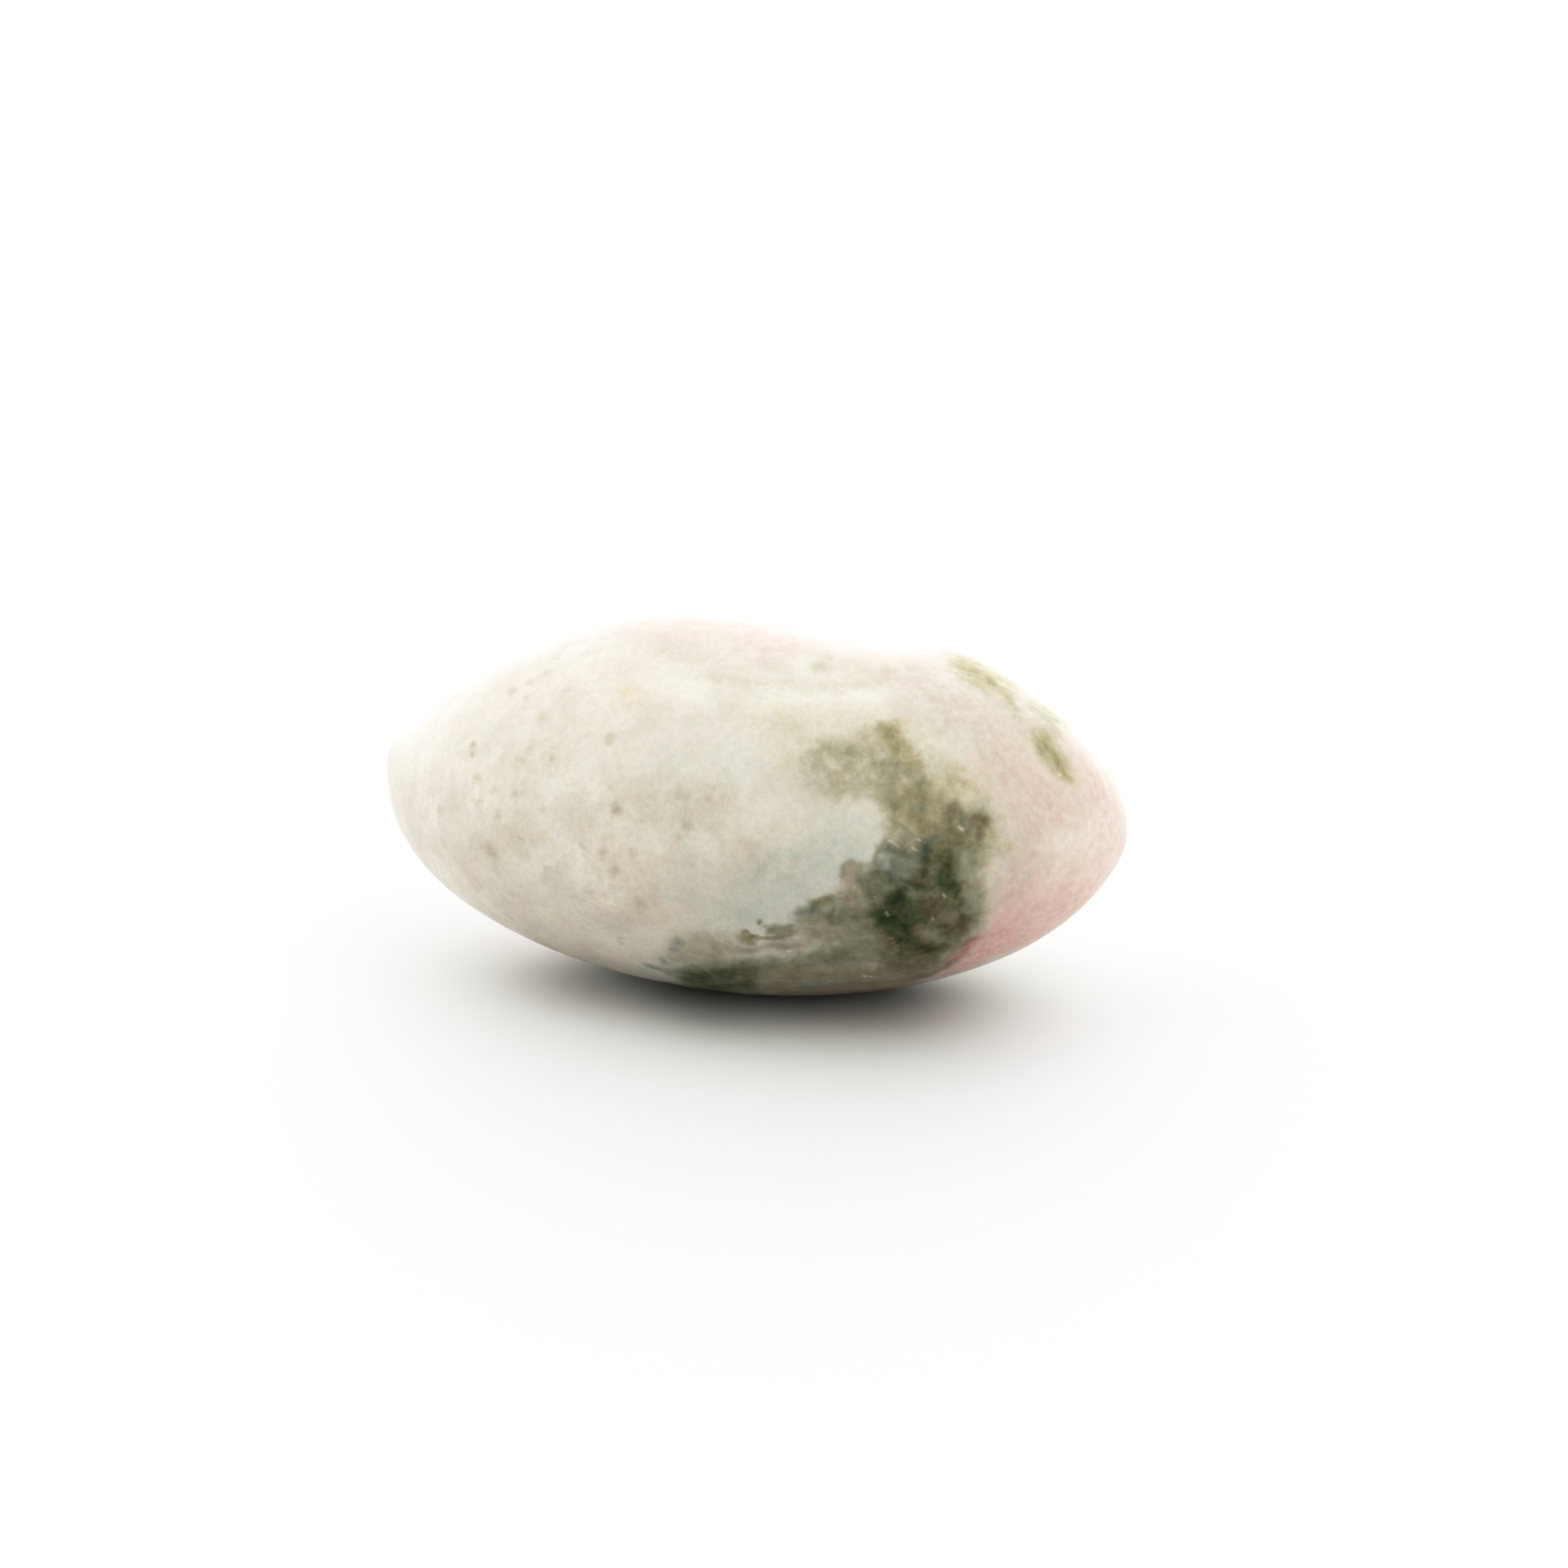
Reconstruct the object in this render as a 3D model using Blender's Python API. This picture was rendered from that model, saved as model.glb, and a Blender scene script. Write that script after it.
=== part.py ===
"""A tumbled tugtupite pebble, lying on its long side.

The stone is one piece, so it is one solid. It starts as a round ball of triangles, is drawn out to
an egg, and is then worn: broad swells and flats shape its outline, a shallow flute with a soft ledge
under it crosses the upper front, and a small flat is rubbed on the underside, on which it rests.
It lies a little turned, with its right end towards the front. Metres, +Z up, +X to the right of the
face that is looked at, which is -Y. The origin is on the surface that the stone lies on, under the
middle of its bounding box.
"""

import math
from collections import namedtuple

import bmesh
import bpy
from mathutils import Matrix, Vector

MM = 0.001

HALF_LENGTH = 17.25 * MM
HALF_DEPTH = 10.0 * MM
HALF_HEIGHT = 8.78 * MM
LEAN = math.radians(0.8)  # the right end of the long axis lies this much lower than the left
TURN = math.radians(15.0)  # and it is turned this much towards the front
SKIN_SUBDIVISIONS = 5

REST_FLAT_DEPTH = 0.24 * MM  # how much of the underside is rubbed away
REST_FLAT_MERGE = 0.02 * MM

FLUTE_POLE = Vector((0.075, -0.196, 0.978)).normalized()  # the flute is part of a ring round this
FLUTE_RING = math.radians(26.0)  # angles here are at the middle of the ball
FLUTE_MIDDLE = Vector((0.15, -0.595, 0.79)).normalized()
FLUTE_HALF_SPAN = math.radians(25.0)
FLUTE_DEPTH = 0.17 * MM
FLUTE_HALF_WIDTH = math.radians(6.5)
LEDGE_HEIGHT = 0.10 * MM
LEDGE_HALF_WIDTH = math.radians(5.5)
LEDGE_BELOW_FLUTE = math.radians(8.0)

# A swell raises or lowers the skin round one direction of the stone, before it is leaned and turned.
# turn is the angle in the broad front, from 0 at the right tip through 90 at the top. back is the
# angle away from it, from -90 at the front to 90 at the back. spread is the angle at which the swell
# has faded to a third.
Swell = namedtuple("Swell", "turn back height spread")

OUTLINE_SWELLS = (
    Swell(116.0, -2.0, 0.35 * MM, 22.0),  # full left shoulder
    Swell(60.0, 3.0, -0.28 * MM, 17.0),  # flat right of the crown
    Swell(39.0, 4.0, 0.31 * MM, 11.0),  # right shoulder
    Swell(317.0, 4.0, 0.20 * MM, 14.0),  # full lower right
    Swell(218.0, -4.0, -0.07 * MM, 24.0),  # lean lower left
    Swell(174.0, -5.0, 0.21 * MM, 11.0),  # left tip
    Swell(357.0, 5.0, 0.27 * MM, 10.0),  # right tip
)
FACE_SWELLS = (
    Swell(187.0, -48.0, 0.30 * MM, 24.0),  # full left end of the front
    Swell(311.0, -69.0, -0.26 * MM, 24.0),  # flat low on the front
    Swell(354.0, -27.0, 0.18 * MM, 20.0),  # full right end of the front
    Swell(296.0, -46.0, 0.14 * MM, 18.0),  # belly of the front
)
BACK_SWELLS = (
    Swell(112.0, 59.0, -0.62 * MM, 27.0),  # broad flat, upper right of the back
    Swell(162.0, 29.0, 0.34 * MM, 21.0),  # hump at the upper left of the back
    Swell(196.0, 34.0, -0.48 * MM, 23.0),  # flat at the left of the back
    Swell(246.0, 67.0, 0.30 * MM, 19.0),  # full lower part of the back
    Swell(115.0, 31.0, 0.18 * MM, 14.0),  # low crest between hump and flat
    Swell(23.0, 61.0, -0.20 * MM, 13.0),  # shallow dimple behind the right tip
)
SWELLS = OUTLINE_SWELLS + FACE_SWELLS + BACK_SWELLS

STONE_COLOUR = (0.76, 0.72, 0.63, 1.0)
STONE_ROUGHNESS = 0.28
OBJECT_NAME = "tugtupite"
NODE_NAME = "tugtupite_pebble"


def clear_scene():
    """Remove every object, so that the model starts from nothing."""
    for obj in list(bpy.data.objects):
        bpy.data.objects.remove(obj, do_unlink=True)


def swell_direction(swell):
    """Direction of the middle of a swell, on the ball of radius 1."""
    turn = math.radians(swell.turn)
    back = math.radians(swell.back)
    flat = Vector((math.cos(turn), 0.0, math.sin(turn))) * math.cos(back)
    seen = flat + Vector((0.0, math.sin(back), 0.0))
    return Vector((seen.x / HALF_LENGTH, seen.y / HALF_DEPTH, seen.z / HALF_HEIGHT)).normalized()


def bell(distance, reach):
    """1 at no distance, fading smoothly to about a third at reach."""
    return math.exp(-((distance / reach) ** 2))


def swell_height(direction):
    """How far all the swells together lift the skin."""
    total = 0.0
    for swell in SWELLS:
        away = swell_direction(swell).angle(direction)
        total += swell.height * bell(away, math.radians(swell.spread))
    return total


def flute_height(direction):
    """The flute, a trough along part of a ring, and the soft ledge along its lower side."""
    offset = FLUTE_POLE.angle(direction) - FLUTE_RING
    fade = math.exp(-((FLUTE_MIDDLE.angle(direction) / FLUTE_HALF_SPAN) ** 4))
    trough = -FLUTE_DEPTH * bell(offset, FLUTE_HALF_WIDTH)
    ledge = LEDGE_HEIGHT * bell(offset - LEDGE_BELOW_FLUTE, LEDGE_HALF_WIDTH)
    return (trough + ledge) * fade


def skin_point(direction):
    """Point of the worn skin that belongs to a direction of the ball."""
    size = Vector((HALF_LENGTH, HALF_DEPTH, HALF_HEIGHT))
    point = Vector(d * s for d, s in zip(direction, size))
    outward = Vector(d / s for d, s in zip(direction, size)).normalized()
    return point + outward * (swell_height(direction) + flute_height(direction))


def rub_rest_flat(mesh):
    """Cut the underside off level and close it with one flat face."""
    lowest = min(vert.co.z for vert in mesh.verts)
    level = Vector((0.0, 0.0, lowest + REST_FLAT_DEPTH))
    everything = list(mesh.verts) + list(mesh.edges) + list(mesh.faces)
    cut = bmesh.ops.bisect_plane(
        mesh, geom=everything, plane_co=level, plane_no=(0.0, 0.0, -1.0), clear_outer=True
    )
    rim = [item for item in cut["geom_cut"] if isinstance(item, bmesh.types.BMVert)]
    bmesh.ops.remove_doubles(mesh, verts=rim, dist=REST_FLAT_MERGE)
    open_edges = [edge for edge in mesh.edges if edge.is_boundary]
    bmesh.ops.contextual_create(mesh, geom=open_edges)


def set_down(mesh):
    """Move the stone so that it lies on z = 0 with the middle of its box over the origin."""
    points = [vert.co for vert in mesh.verts]
    low = Vector(min(point[axis] for point in points) for axis in range(3))
    high = Vector(max(point[axis] for point in points) for axis in range(3))
    middle = (low + high) / 2.0
    bmesh.ops.translate(mesh, verts=mesh.verts, vec=(-middle.x, -middle.y, -low.z))
    for vert in mesh.verts:
        if vert.co.z < REST_FLAT_MERGE:
            vert.co.z = 0.0


def stone_material():
    """Pale cream stone with a tumbled polish."""
    material = bpy.data.materials.new("tumbled_stone")
    material.use_nodes = True
    shader = material.node_tree.nodes["Principled BSDF"]
    shader.inputs["Base Color"].default_value = STONE_COLOUR
    shader.inputs["Roughness"].default_value = STONE_ROUGHNESS
    shader.inputs["Metallic"].default_value = 0.0
    return material


def build_pebble(collection):
    """The whole stone as one closed mesh object."""
    mesh = bmesh.new()
    bmesh.ops.create_icosphere(mesh, subdivisions=SKIN_SUBDIVISIONS, radius=1.0)
    for vert in mesh.verts:
        vert.co = skin_point(vert.co.normalized())
    pose = Matrix.Rotation(-TURN, 3, "Z") @ Matrix.Rotation(LEAN, 3, "Y")
    bmesh.ops.rotate(mesh, verts=mesh.verts, cent=(0.0, 0.0, 0.0), matrix=pose)
    rub_rest_flat(mesh)
    set_down(mesh)
    bmesh.ops.recalc_face_normals(mesh, faces=mesh.faces)
    data = bpy.data.meshes.new(NODE_NAME)
    mesh.to_mesh(data)
    mesh.free()
    data.shade_smooth()
    data.materials.append(stone_material())
    pebble = bpy.data.objects.new(NODE_NAME, data)
    collection.objects.link(pebble)
    return pebble


def main():
    clear_scene()
    collection = bpy.data.collections.new(OBJECT_NAME)
    bpy.context.scene.collection.children.link(collection)
    build_pebble(collection)


if __name__ == "__main__":
    main()
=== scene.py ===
"""Looks of a tumbled tugtupite pebble: its worn skin, its mineral pattern, and a white studio."""

import logging
import math
from collections.abc import Callable, Mapping
from dataclasses import dataclass, field
from enum import Enum
from typing import Any

import bmesh
import bpy
import numpy as np
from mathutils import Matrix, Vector, noise
from mathutils.bvhtree import BVHTree


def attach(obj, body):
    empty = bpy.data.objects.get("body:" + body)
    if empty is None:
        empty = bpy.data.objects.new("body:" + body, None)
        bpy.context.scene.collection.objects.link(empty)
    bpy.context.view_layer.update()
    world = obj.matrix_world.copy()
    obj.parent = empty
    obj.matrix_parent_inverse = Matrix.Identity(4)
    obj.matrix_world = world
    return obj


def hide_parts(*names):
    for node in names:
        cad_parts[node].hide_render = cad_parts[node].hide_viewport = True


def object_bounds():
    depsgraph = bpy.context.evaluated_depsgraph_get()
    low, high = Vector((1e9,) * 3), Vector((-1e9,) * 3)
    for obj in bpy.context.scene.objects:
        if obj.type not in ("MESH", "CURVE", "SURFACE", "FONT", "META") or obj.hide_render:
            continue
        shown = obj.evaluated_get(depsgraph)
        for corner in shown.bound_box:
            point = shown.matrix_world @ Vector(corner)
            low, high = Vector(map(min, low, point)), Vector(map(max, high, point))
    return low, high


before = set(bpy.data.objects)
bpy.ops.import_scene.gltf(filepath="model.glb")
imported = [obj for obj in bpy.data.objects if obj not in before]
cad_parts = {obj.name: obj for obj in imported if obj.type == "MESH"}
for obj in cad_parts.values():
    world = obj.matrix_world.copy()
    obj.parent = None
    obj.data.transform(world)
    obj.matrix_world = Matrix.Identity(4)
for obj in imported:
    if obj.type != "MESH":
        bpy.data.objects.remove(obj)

CAD_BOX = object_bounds()
CAD_NODE = "tugtupite_pebble"
BODY = "root"
MM = 0.001
LOG = logging.getLogger("pebble")

Colour = tuple[float, float, float]
Place = tuple[float, float]


class Graph:
    """A node tree being built. Every node in it comes from add()."""

    def __init__(self, tree: bpy.types.NodeTree) -> None:
        """Keep the tree that the nodes go into."""
        self.tree = tree

    def add(
        self,
        kind: str,
        settings: Mapping[str, Any] | None = None,
        sockets: Mapping[str | int, Any] | None = None,
    ) -> bpy.types.Node:
        """Add one node.

        Args:
            kind: the node's type.
            settings: its settings, set first; "stops" is a ramp's list of (place, colour).
            sockets: the values or wires of its inputs, by name or number.

        Returns:
            The new node.
        """
        node = self.tree.nodes.new(kind)
        for name, value in (settings or {}).items():
            if name == "stops":
                self._set_stops(node.color_ramp, value)
            else:
                setattr(node, name, value)
        for key, value in (sockets or {}).items():
            if isinstance(value, Wire):
                self.tree.links.new(value.socket, node.inputs[key])
            else:
                node.inputs[key].default_value = value
        return node

    def wire(
        self,
        kind: str,
        settings: Mapping[str, Any] | None = None,
        sockets: Mapping[str | int, Any] | None = None,
        output: str | int = 0,
    ) -> "Wire":
        """Add one node and return the wire that leaves one of its outputs.

        Args:
            kind: the node's type.
            settings: its settings.
            sockets: the values or wires of its inputs.
            output: the output's name or number.

        Returns:
            The wire that leaves that output.
        """
        return Wire(self, self.add(kind, settings, sockets).outputs[output])

    def mix(self, amount: "Wire | float", low: Any, high: Any) -> "Wire":
        """Blend two colours.

        Args:
            amount: 0 gives low and 1 gives high.
            low: a colour or a wire of one.
            high: a colour or a wire of one.

        Returns:
            The blended colour.
        """
        settings = {"data_type": "RGBA", "clamp_factor": True}
        return self.wire("ShaderNodeMix", settings, {0: amount, 6: opaque(low), 7: opaque(high)}, 2)

    @staticmethod
    def _set_stops(ramp: bpy.types.ColorRamp, stops: list[tuple[float, Any]]) -> None:
        """Give a ramp these (place, colour) stops in place of its own."""
        while len(ramp.elements) < len(stops):
            ramp.elements.new(1.0)
        for element, (place, colour) in zip(ramp.elements, stops):
            element.position = place
            element.color = colour


class Wire:
    """What leaves a node's output, usable in Python expressions."""

    def __init__(self, graph: Graph, socket: bpy.types.NodeSocket) -> None:
        """Keep the tree and the output socket."""
        self.graph = graph
        self.socket = socket

    @property
    def is_vector(self) -> bool:
        """Whether the socket carries three numbers."""
        return self.socket.type in ("VECTOR", "RGBA")

    def _join(self, operation: str, first: Any, second: Any = None) -> "Wire":
        """Add the Math or Vector Math node of an operation on one or two operands."""
        operands = [first] if second is None else [first, second]
        wide = any(isinstance(item, Wire) and item.is_vector for item in operands)
        wide = wide or any(isinstance(item, (tuple, Vector)) for item in operands)
        if not wide:
            sockets = dict(enumerate(operands))
            return self.graph.wire("ShaderNodeMath", {"operation": operation}, sockets)
        spread = [(item,) * 3 if isinstance(item, (int, float)) else item for item in operands]
        return self.graph.wire("ShaderNodeVectorMath", {"operation": operation}, dict(enumerate(spread)))

    def __add__(self, other: Any) -> "Wire":
        """Sum."""
        return self._join("ADD", self, other)

    def __radd__(self, other: Any) -> "Wire":
        """Sum, reflected."""
        return self._join("ADD", other, self)

    def __sub__(self, other: Any) -> "Wire":
        """Difference."""
        return self._join("SUBTRACT", self, other)

    def __rsub__(self, other: Any) -> "Wire":
        """Difference, reflected."""
        return self._join("SUBTRACT", other, self)

    def __mul__(self, other: Any) -> "Wire":
        """Product."""
        return self._join("MULTIPLY", self, other)

    def __rmul__(self, other: Any) -> "Wire":
        """Product, reflected."""
        return self._join("MULTIPLY", other, self)

    def __truediv__(self, other: Any) -> "Wire":
        """Quotient."""
        return self._join("DIVIDE", self, other)

    def __rtruediv__(self, other: Any) -> "Wire":
        """Quotient, reflected."""
        return self._join("DIVIDE", other, self)

    def __pow__(self, exponent: float) -> "Wire":
        """Power."""
        return self._join("POWER", self, exponent)

    def __neg__(self) -> "Wire":
        """Opposite."""
        return self * -1.0

    def __abs__(self) -> "Wire":
        """Size without sign."""
        return self._join("ABSOLUTE", self)

    def maximum(self, other: Any) -> "Wire":
        """The larger of two."""
        return self._join("MAXIMUM", self, other)

    def minimum(self, other: Any) -> "Wire":
        """The smaller of two."""
        return self._join("MINIMUM", self, other)

    def exponential(self) -> "Wire":
        """e to this power."""
        return self._join("EXPONENT", self)

    def tangent(self) -> "Wire":
        """Tangent, of each part of a vector."""
        return self._join("TANGENT", self)

    def arccosine(self) -> "Wire":
        """Angle whose cosine this is."""
        return self._join("ARCCOSINE", self)

    def normalized(self) -> "Wire":
        """The vector's direction."""
        return self._join("NORMALIZE", self)

    def dot(self, other: Any) -> "Wire":
        """Dot product with another vector."""
        return self.graph.wire("ShaderNodeVectorMath", {"operation": "DOT_PRODUCT"}, {0: self, 1: other}, 1)

    def distance(self, other: Any) -> "Wire":
        """Distance to another point."""
        return self.graph.wire("ShaderNodeVectorMath", {"operation": "DISTANCE"}, {0: self, 1: other}, 1)

    def scaled(self, factor: Any) -> "Wire":
        """The vector times one number or one wire of a number."""
        settings = {"operation": "SCALE"}
        return self.graph.wire("ShaderNodeVectorMath", settings, {0: self, 3: factor})

    def bell(self, reach: Any) -> "Wire":
        """1 at nothing, fading smoothly to about a third at reach."""
        ratio = self / reach
        return (-(ratio * ratio)).exponential()

    def smooth(self, low: float, high: float) -> "Wire":
        """0 below low and 1 above high, with a smooth step between."""
        settings = {"interpolation_type": "SMOOTHSTEP"}
        return self.graph.wire("ShaderNodeMapRange", settings, {0: self, 1: low, 2: high})

    def parts(self) -> tuple["Wire", "Wire", "Wire"]:
        """The vector's three parts."""
        node = self.graph.add("ShaderNodeSeparateXYZ", None, {0: self})
        return tuple(Wire(self.graph, output) for output in node.outputs)


def opaque(colour: Any) -> Any:
    """A colour with its alpha, or the wire as it is."""
    return colour if isinstance(colour, Wire) else (*colour, 1.0)


@dataclass(frozen=True)
class PhotoCamera:
    """The camera that looks at the stone as the photograph does."""

    frame_px: float = 1932.0
    lens_mm: float = 65.0
    sensor_mm: float = 36.0
    height_angle: float = math.radians(15.0)
    away: float = 130.0 * MM
    aim_right: float = 1.57 * MM
    aim_up: float = 0.45 * MM

    def axes(self) -> tuple[Vector, Vector, Vector]:
        """Forward, right and up of the view."""
        forward = Vector((0.0, math.cos(self.height_angle), -math.sin(self.height_angle)))
        right = Vector((1.0, 0.0, 0.0))
        return forward, right, right.cross(forward)

    def place(self) -> Vector:
        """Where the lens is."""
        low, high = CAD_BOX
        forward, right, up = self.axes()
        target = (low + high) / 2.0 + right * self.aim_right + up * self.aim_up
        return target - forward * self.away

    def ray(self, seen: Place) -> Vector:
        """Direction from the lens through a pixel of the photograph.

        Args:
            seen: the pixel, right and down from the frame's top left corner.

        Returns:
            The direction, of length 1.
        """
        forward, right, up = self.axes()
        focal_px = self.frame_px * self.lens_mm / self.sensor_mm
        middle = self.frame_px / 2.0
        across = (seen[0] - middle) / focal_px
        down = (seen[1] - middle) / focal_px
        return (forward + right * across - up * down).normalized()

    def pixels(self, points: np.ndarray) -> np.ndarray:
        """Where the photograph shows points.

        Args:
            points: one point in each row.

        Returns:
            The pixels, one row each.
        """
        forward, right, up = (np.array(axis) for axis in self.axes())
        away = points - np.array(self.place())
        focal_px = self.frame_px * self.lens_mm / self.sensor_mm
        ahead = away @ forward
        middle = self.frame_px / 2.0
        return np.stack([middle + focal_px * (away @ right) / ahead, middle - focal_px * (away @ up) / ahead], 1)

    def build(self) -> bpy.types.Object:
        """Make the camera the scene's own.

        Returns:
            The camera's object.
        """
        data = bpy.data.cameras.new("photo_camera")
        data.lens = self.lens_mm
        data.sensor_width = self.sensor_mm
        data.clip_start = self.away / 100.0
        camera = bpy.data.objects.new("photo_camera", data)
        bpy.context.scene.collection.objects.link(camera)
        camera.location = self.place()
        camera.rotation_mode = "QUATERNION"
        camera.rotation_quaternion = self.axes()[0].to_track_quat("-Z", "Y")
        bpy.context.scene.camera = camera
        return camera


@dataclass(frozen=True)
class Swell:
    """A broad rise or hollow of the skin round one direction of the stone.

    turn is the angle in the seen face, from 0 at the right tip through 90 at the top. back is the
    angle away from that face, from -90 at the front to 90 at the back. spread is the angle at which
    the swell has faded to a third.
    """

    turn: float
    back: float
    height: float
    spread: float


@dataclass(frozen=True)
class WornForm:
    """The tumbled shape of the stone, before pits: the same form as the fixed model's solid."""

    half_length: float = 17.25 * MM
    half_depth: float = 10.0 * MM
    half_height: float = 8.78 * MM
    lean: float = math.radians(0.8)
    turned: float = math.radians(15.0)
    rest_flat_depth: float = 0.24 * MM
    rest_flat_rim: float = 0.08 * MM
    flute_pole: Colour = (0.075, -0.196, 0.978)
    flute_ring: float = math.radians(26.0)
    flute_middle: Colour = (0.15, -0.595, 0.79)
    flute_half_span: float = math.radians(25.0)
    flute_depth: float = 0.17 * MM
    flute_half_width: float = math.radians(6.5)
    ledge_height: float = 0.10 * MM
    ledge_half_width: float = math.radians(5.5)
    ledge_below_flute: float = math.radians(8.0)
    swells: tuple[Swell, ...] = (
        Swell(116.0, -2.0, 0.35 * MM, 22.0),
        Swell(60.0, 3.0, -0.28 * MM, 17.0),
        Swell(39.0, 4.0, 0.31 * MM, 11.0),
        Swell(317.0, 4.0, 0.20 * MM, 14.0),
        Swell(218.0, -4.0, -0.07 * MM, 24.0),
        Swell(174.0, -5.0, 0.21 * MM, 11.0),
        Swell(357.0, 5.0, 0.27 * MM, 10.0),
        Swell(187.0, -48.0, 0.30 * MM, 24.0),
        Swell(311.0, -69.0, -0.26 * MM, 24.0),
        Swell(354.0, -27.0, 0.18 * MM, 20.0),
        Swell(296.0, -46.0, 0.14 * MM, 18.0),
        Swell(112.0, 59.0, -0.62 * MM, 27.0),
        Swell(162.0, 29.0, 0.34 * MM, 21.0),
        Swell(196.0, 34.0, -0.48 * MM, 23.0),
        Swell(246.0, 67.0, 0.30 * MM, 19.0),
        Swell(115.0, 31.0, 0.18 * MM, 14.0),
        Swell(23.0, 61.0, -0.20 * MM, 13.0),
    )

    def size(self) -> Vector:
        """Half sizes of the egg that the swells are laid on."""
        return Vector((self.half_length, self.half_depth, self.half_height))

    @staticmethod
    def facing(turn: float, back: float) -> Vector:
        """Direction from the stone's middle, in space, of a turn and a back angle in degrees."""
        turned = math.radians(turn)
        leaned = math.radians(back)
        level = math.cos(leaned)
        return Vector((math.cos(turned) * level, math.sin(leaned), math.sin(turned) * level))

    def ball_direction(self, swell: Swell) -> Vector:
        """Where a swell's middle lies on the ball of radius 1 that is drawn out to the egg."""
        seen = self.facing(swell.turn, swell.back)
        return Vector(part / half for part, half in zip(seen, self.size())).normalized()

    def lift(self, direction: Wire) -> Wire:
        """How far swells, flute and ledge raise the skin.

        Args:
            direction: a direction of the ball.

        Returns:
            The height over the egg, in metres.
        """
        total: Any = self.flute(direction)
        for swell in self.swells:
            away = direction.dot(self.ball_direction(swell)).arccosine()
            total = total + swell.height * away.bell(math.radians(swell.spread))
        return total

    def flute(self, direction: Wire) -> Wire:
        """Height of the flute, a trough along part of a ring round a pole, and of its lower ledge."""
        offset = direction.dot(Vector(self.flute_pole).normalized()).arccosine() - self.flute_ring
        away = direction.dot(Vector(self.flute_middle).normalized()).arccosine()
        fade = (-((away / self.flute_half_span) ** 4.0)).exponential()
        trough = -self.flute_depth * offset.bell(self.flute_half_width)
        ledge = self.ledge_height * (offset - self.ledge_below_flute).bell(self.ledge_half_width)
        return (trough + ledge) * fade

    def skin_point(self, graph: Graph, direction: Wire) -> Wire:
        """Point of the worn skin that belongs to a direction of the ball, leaned and turned as it lies.

        Args:
            graph: the tree that the nodes go into.
            direction: a direction of the ball.

        Returns:
            The point, with the egg's middle at the origin.
        """
        egg = direction * self.size()
        outward = (direction / self.size()).normalized()
        x, y, z = (egg + outward.scaled(self.lift(direction))).parts()
        along = x * math.cos(self.lean) + z * math.sin(self.lean)
        up = z * math.cos(self.lean) - x * math.sin(self.lean)
        right = along * math.cos(self.turned) + y * math.sin(self.turned)
        back = y * math.cos(self.turned) - along * math.sin(self.turned)
        return graph.wire("ShaderNodeCombineXYZ", None, {0: right, 1: back, 2: up})


@dataclass(frozen=True)
class Pocks:
    """The shallow pits that tumbling leaves all over a polished stone."""

    spacing: float = 1.1 * MM
    radius: float = 0.26 * MM
    depth: float = 0.028 * MM
    smallest: float = 0.35
    largest: float = 1.25
    seed: int = 7


class Relief(Enum):
    """Names of the numbers that the skin's tree takes in."""

    ROWS = "Rows"
    POCK_SPACING = "Pock Spacing"
    POCK_RADIUS = "Pock Radius"
    POCK_DEPTH = "Pock Depth"
    SEED = "Seed"
    MATERIAL = "Material"


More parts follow.
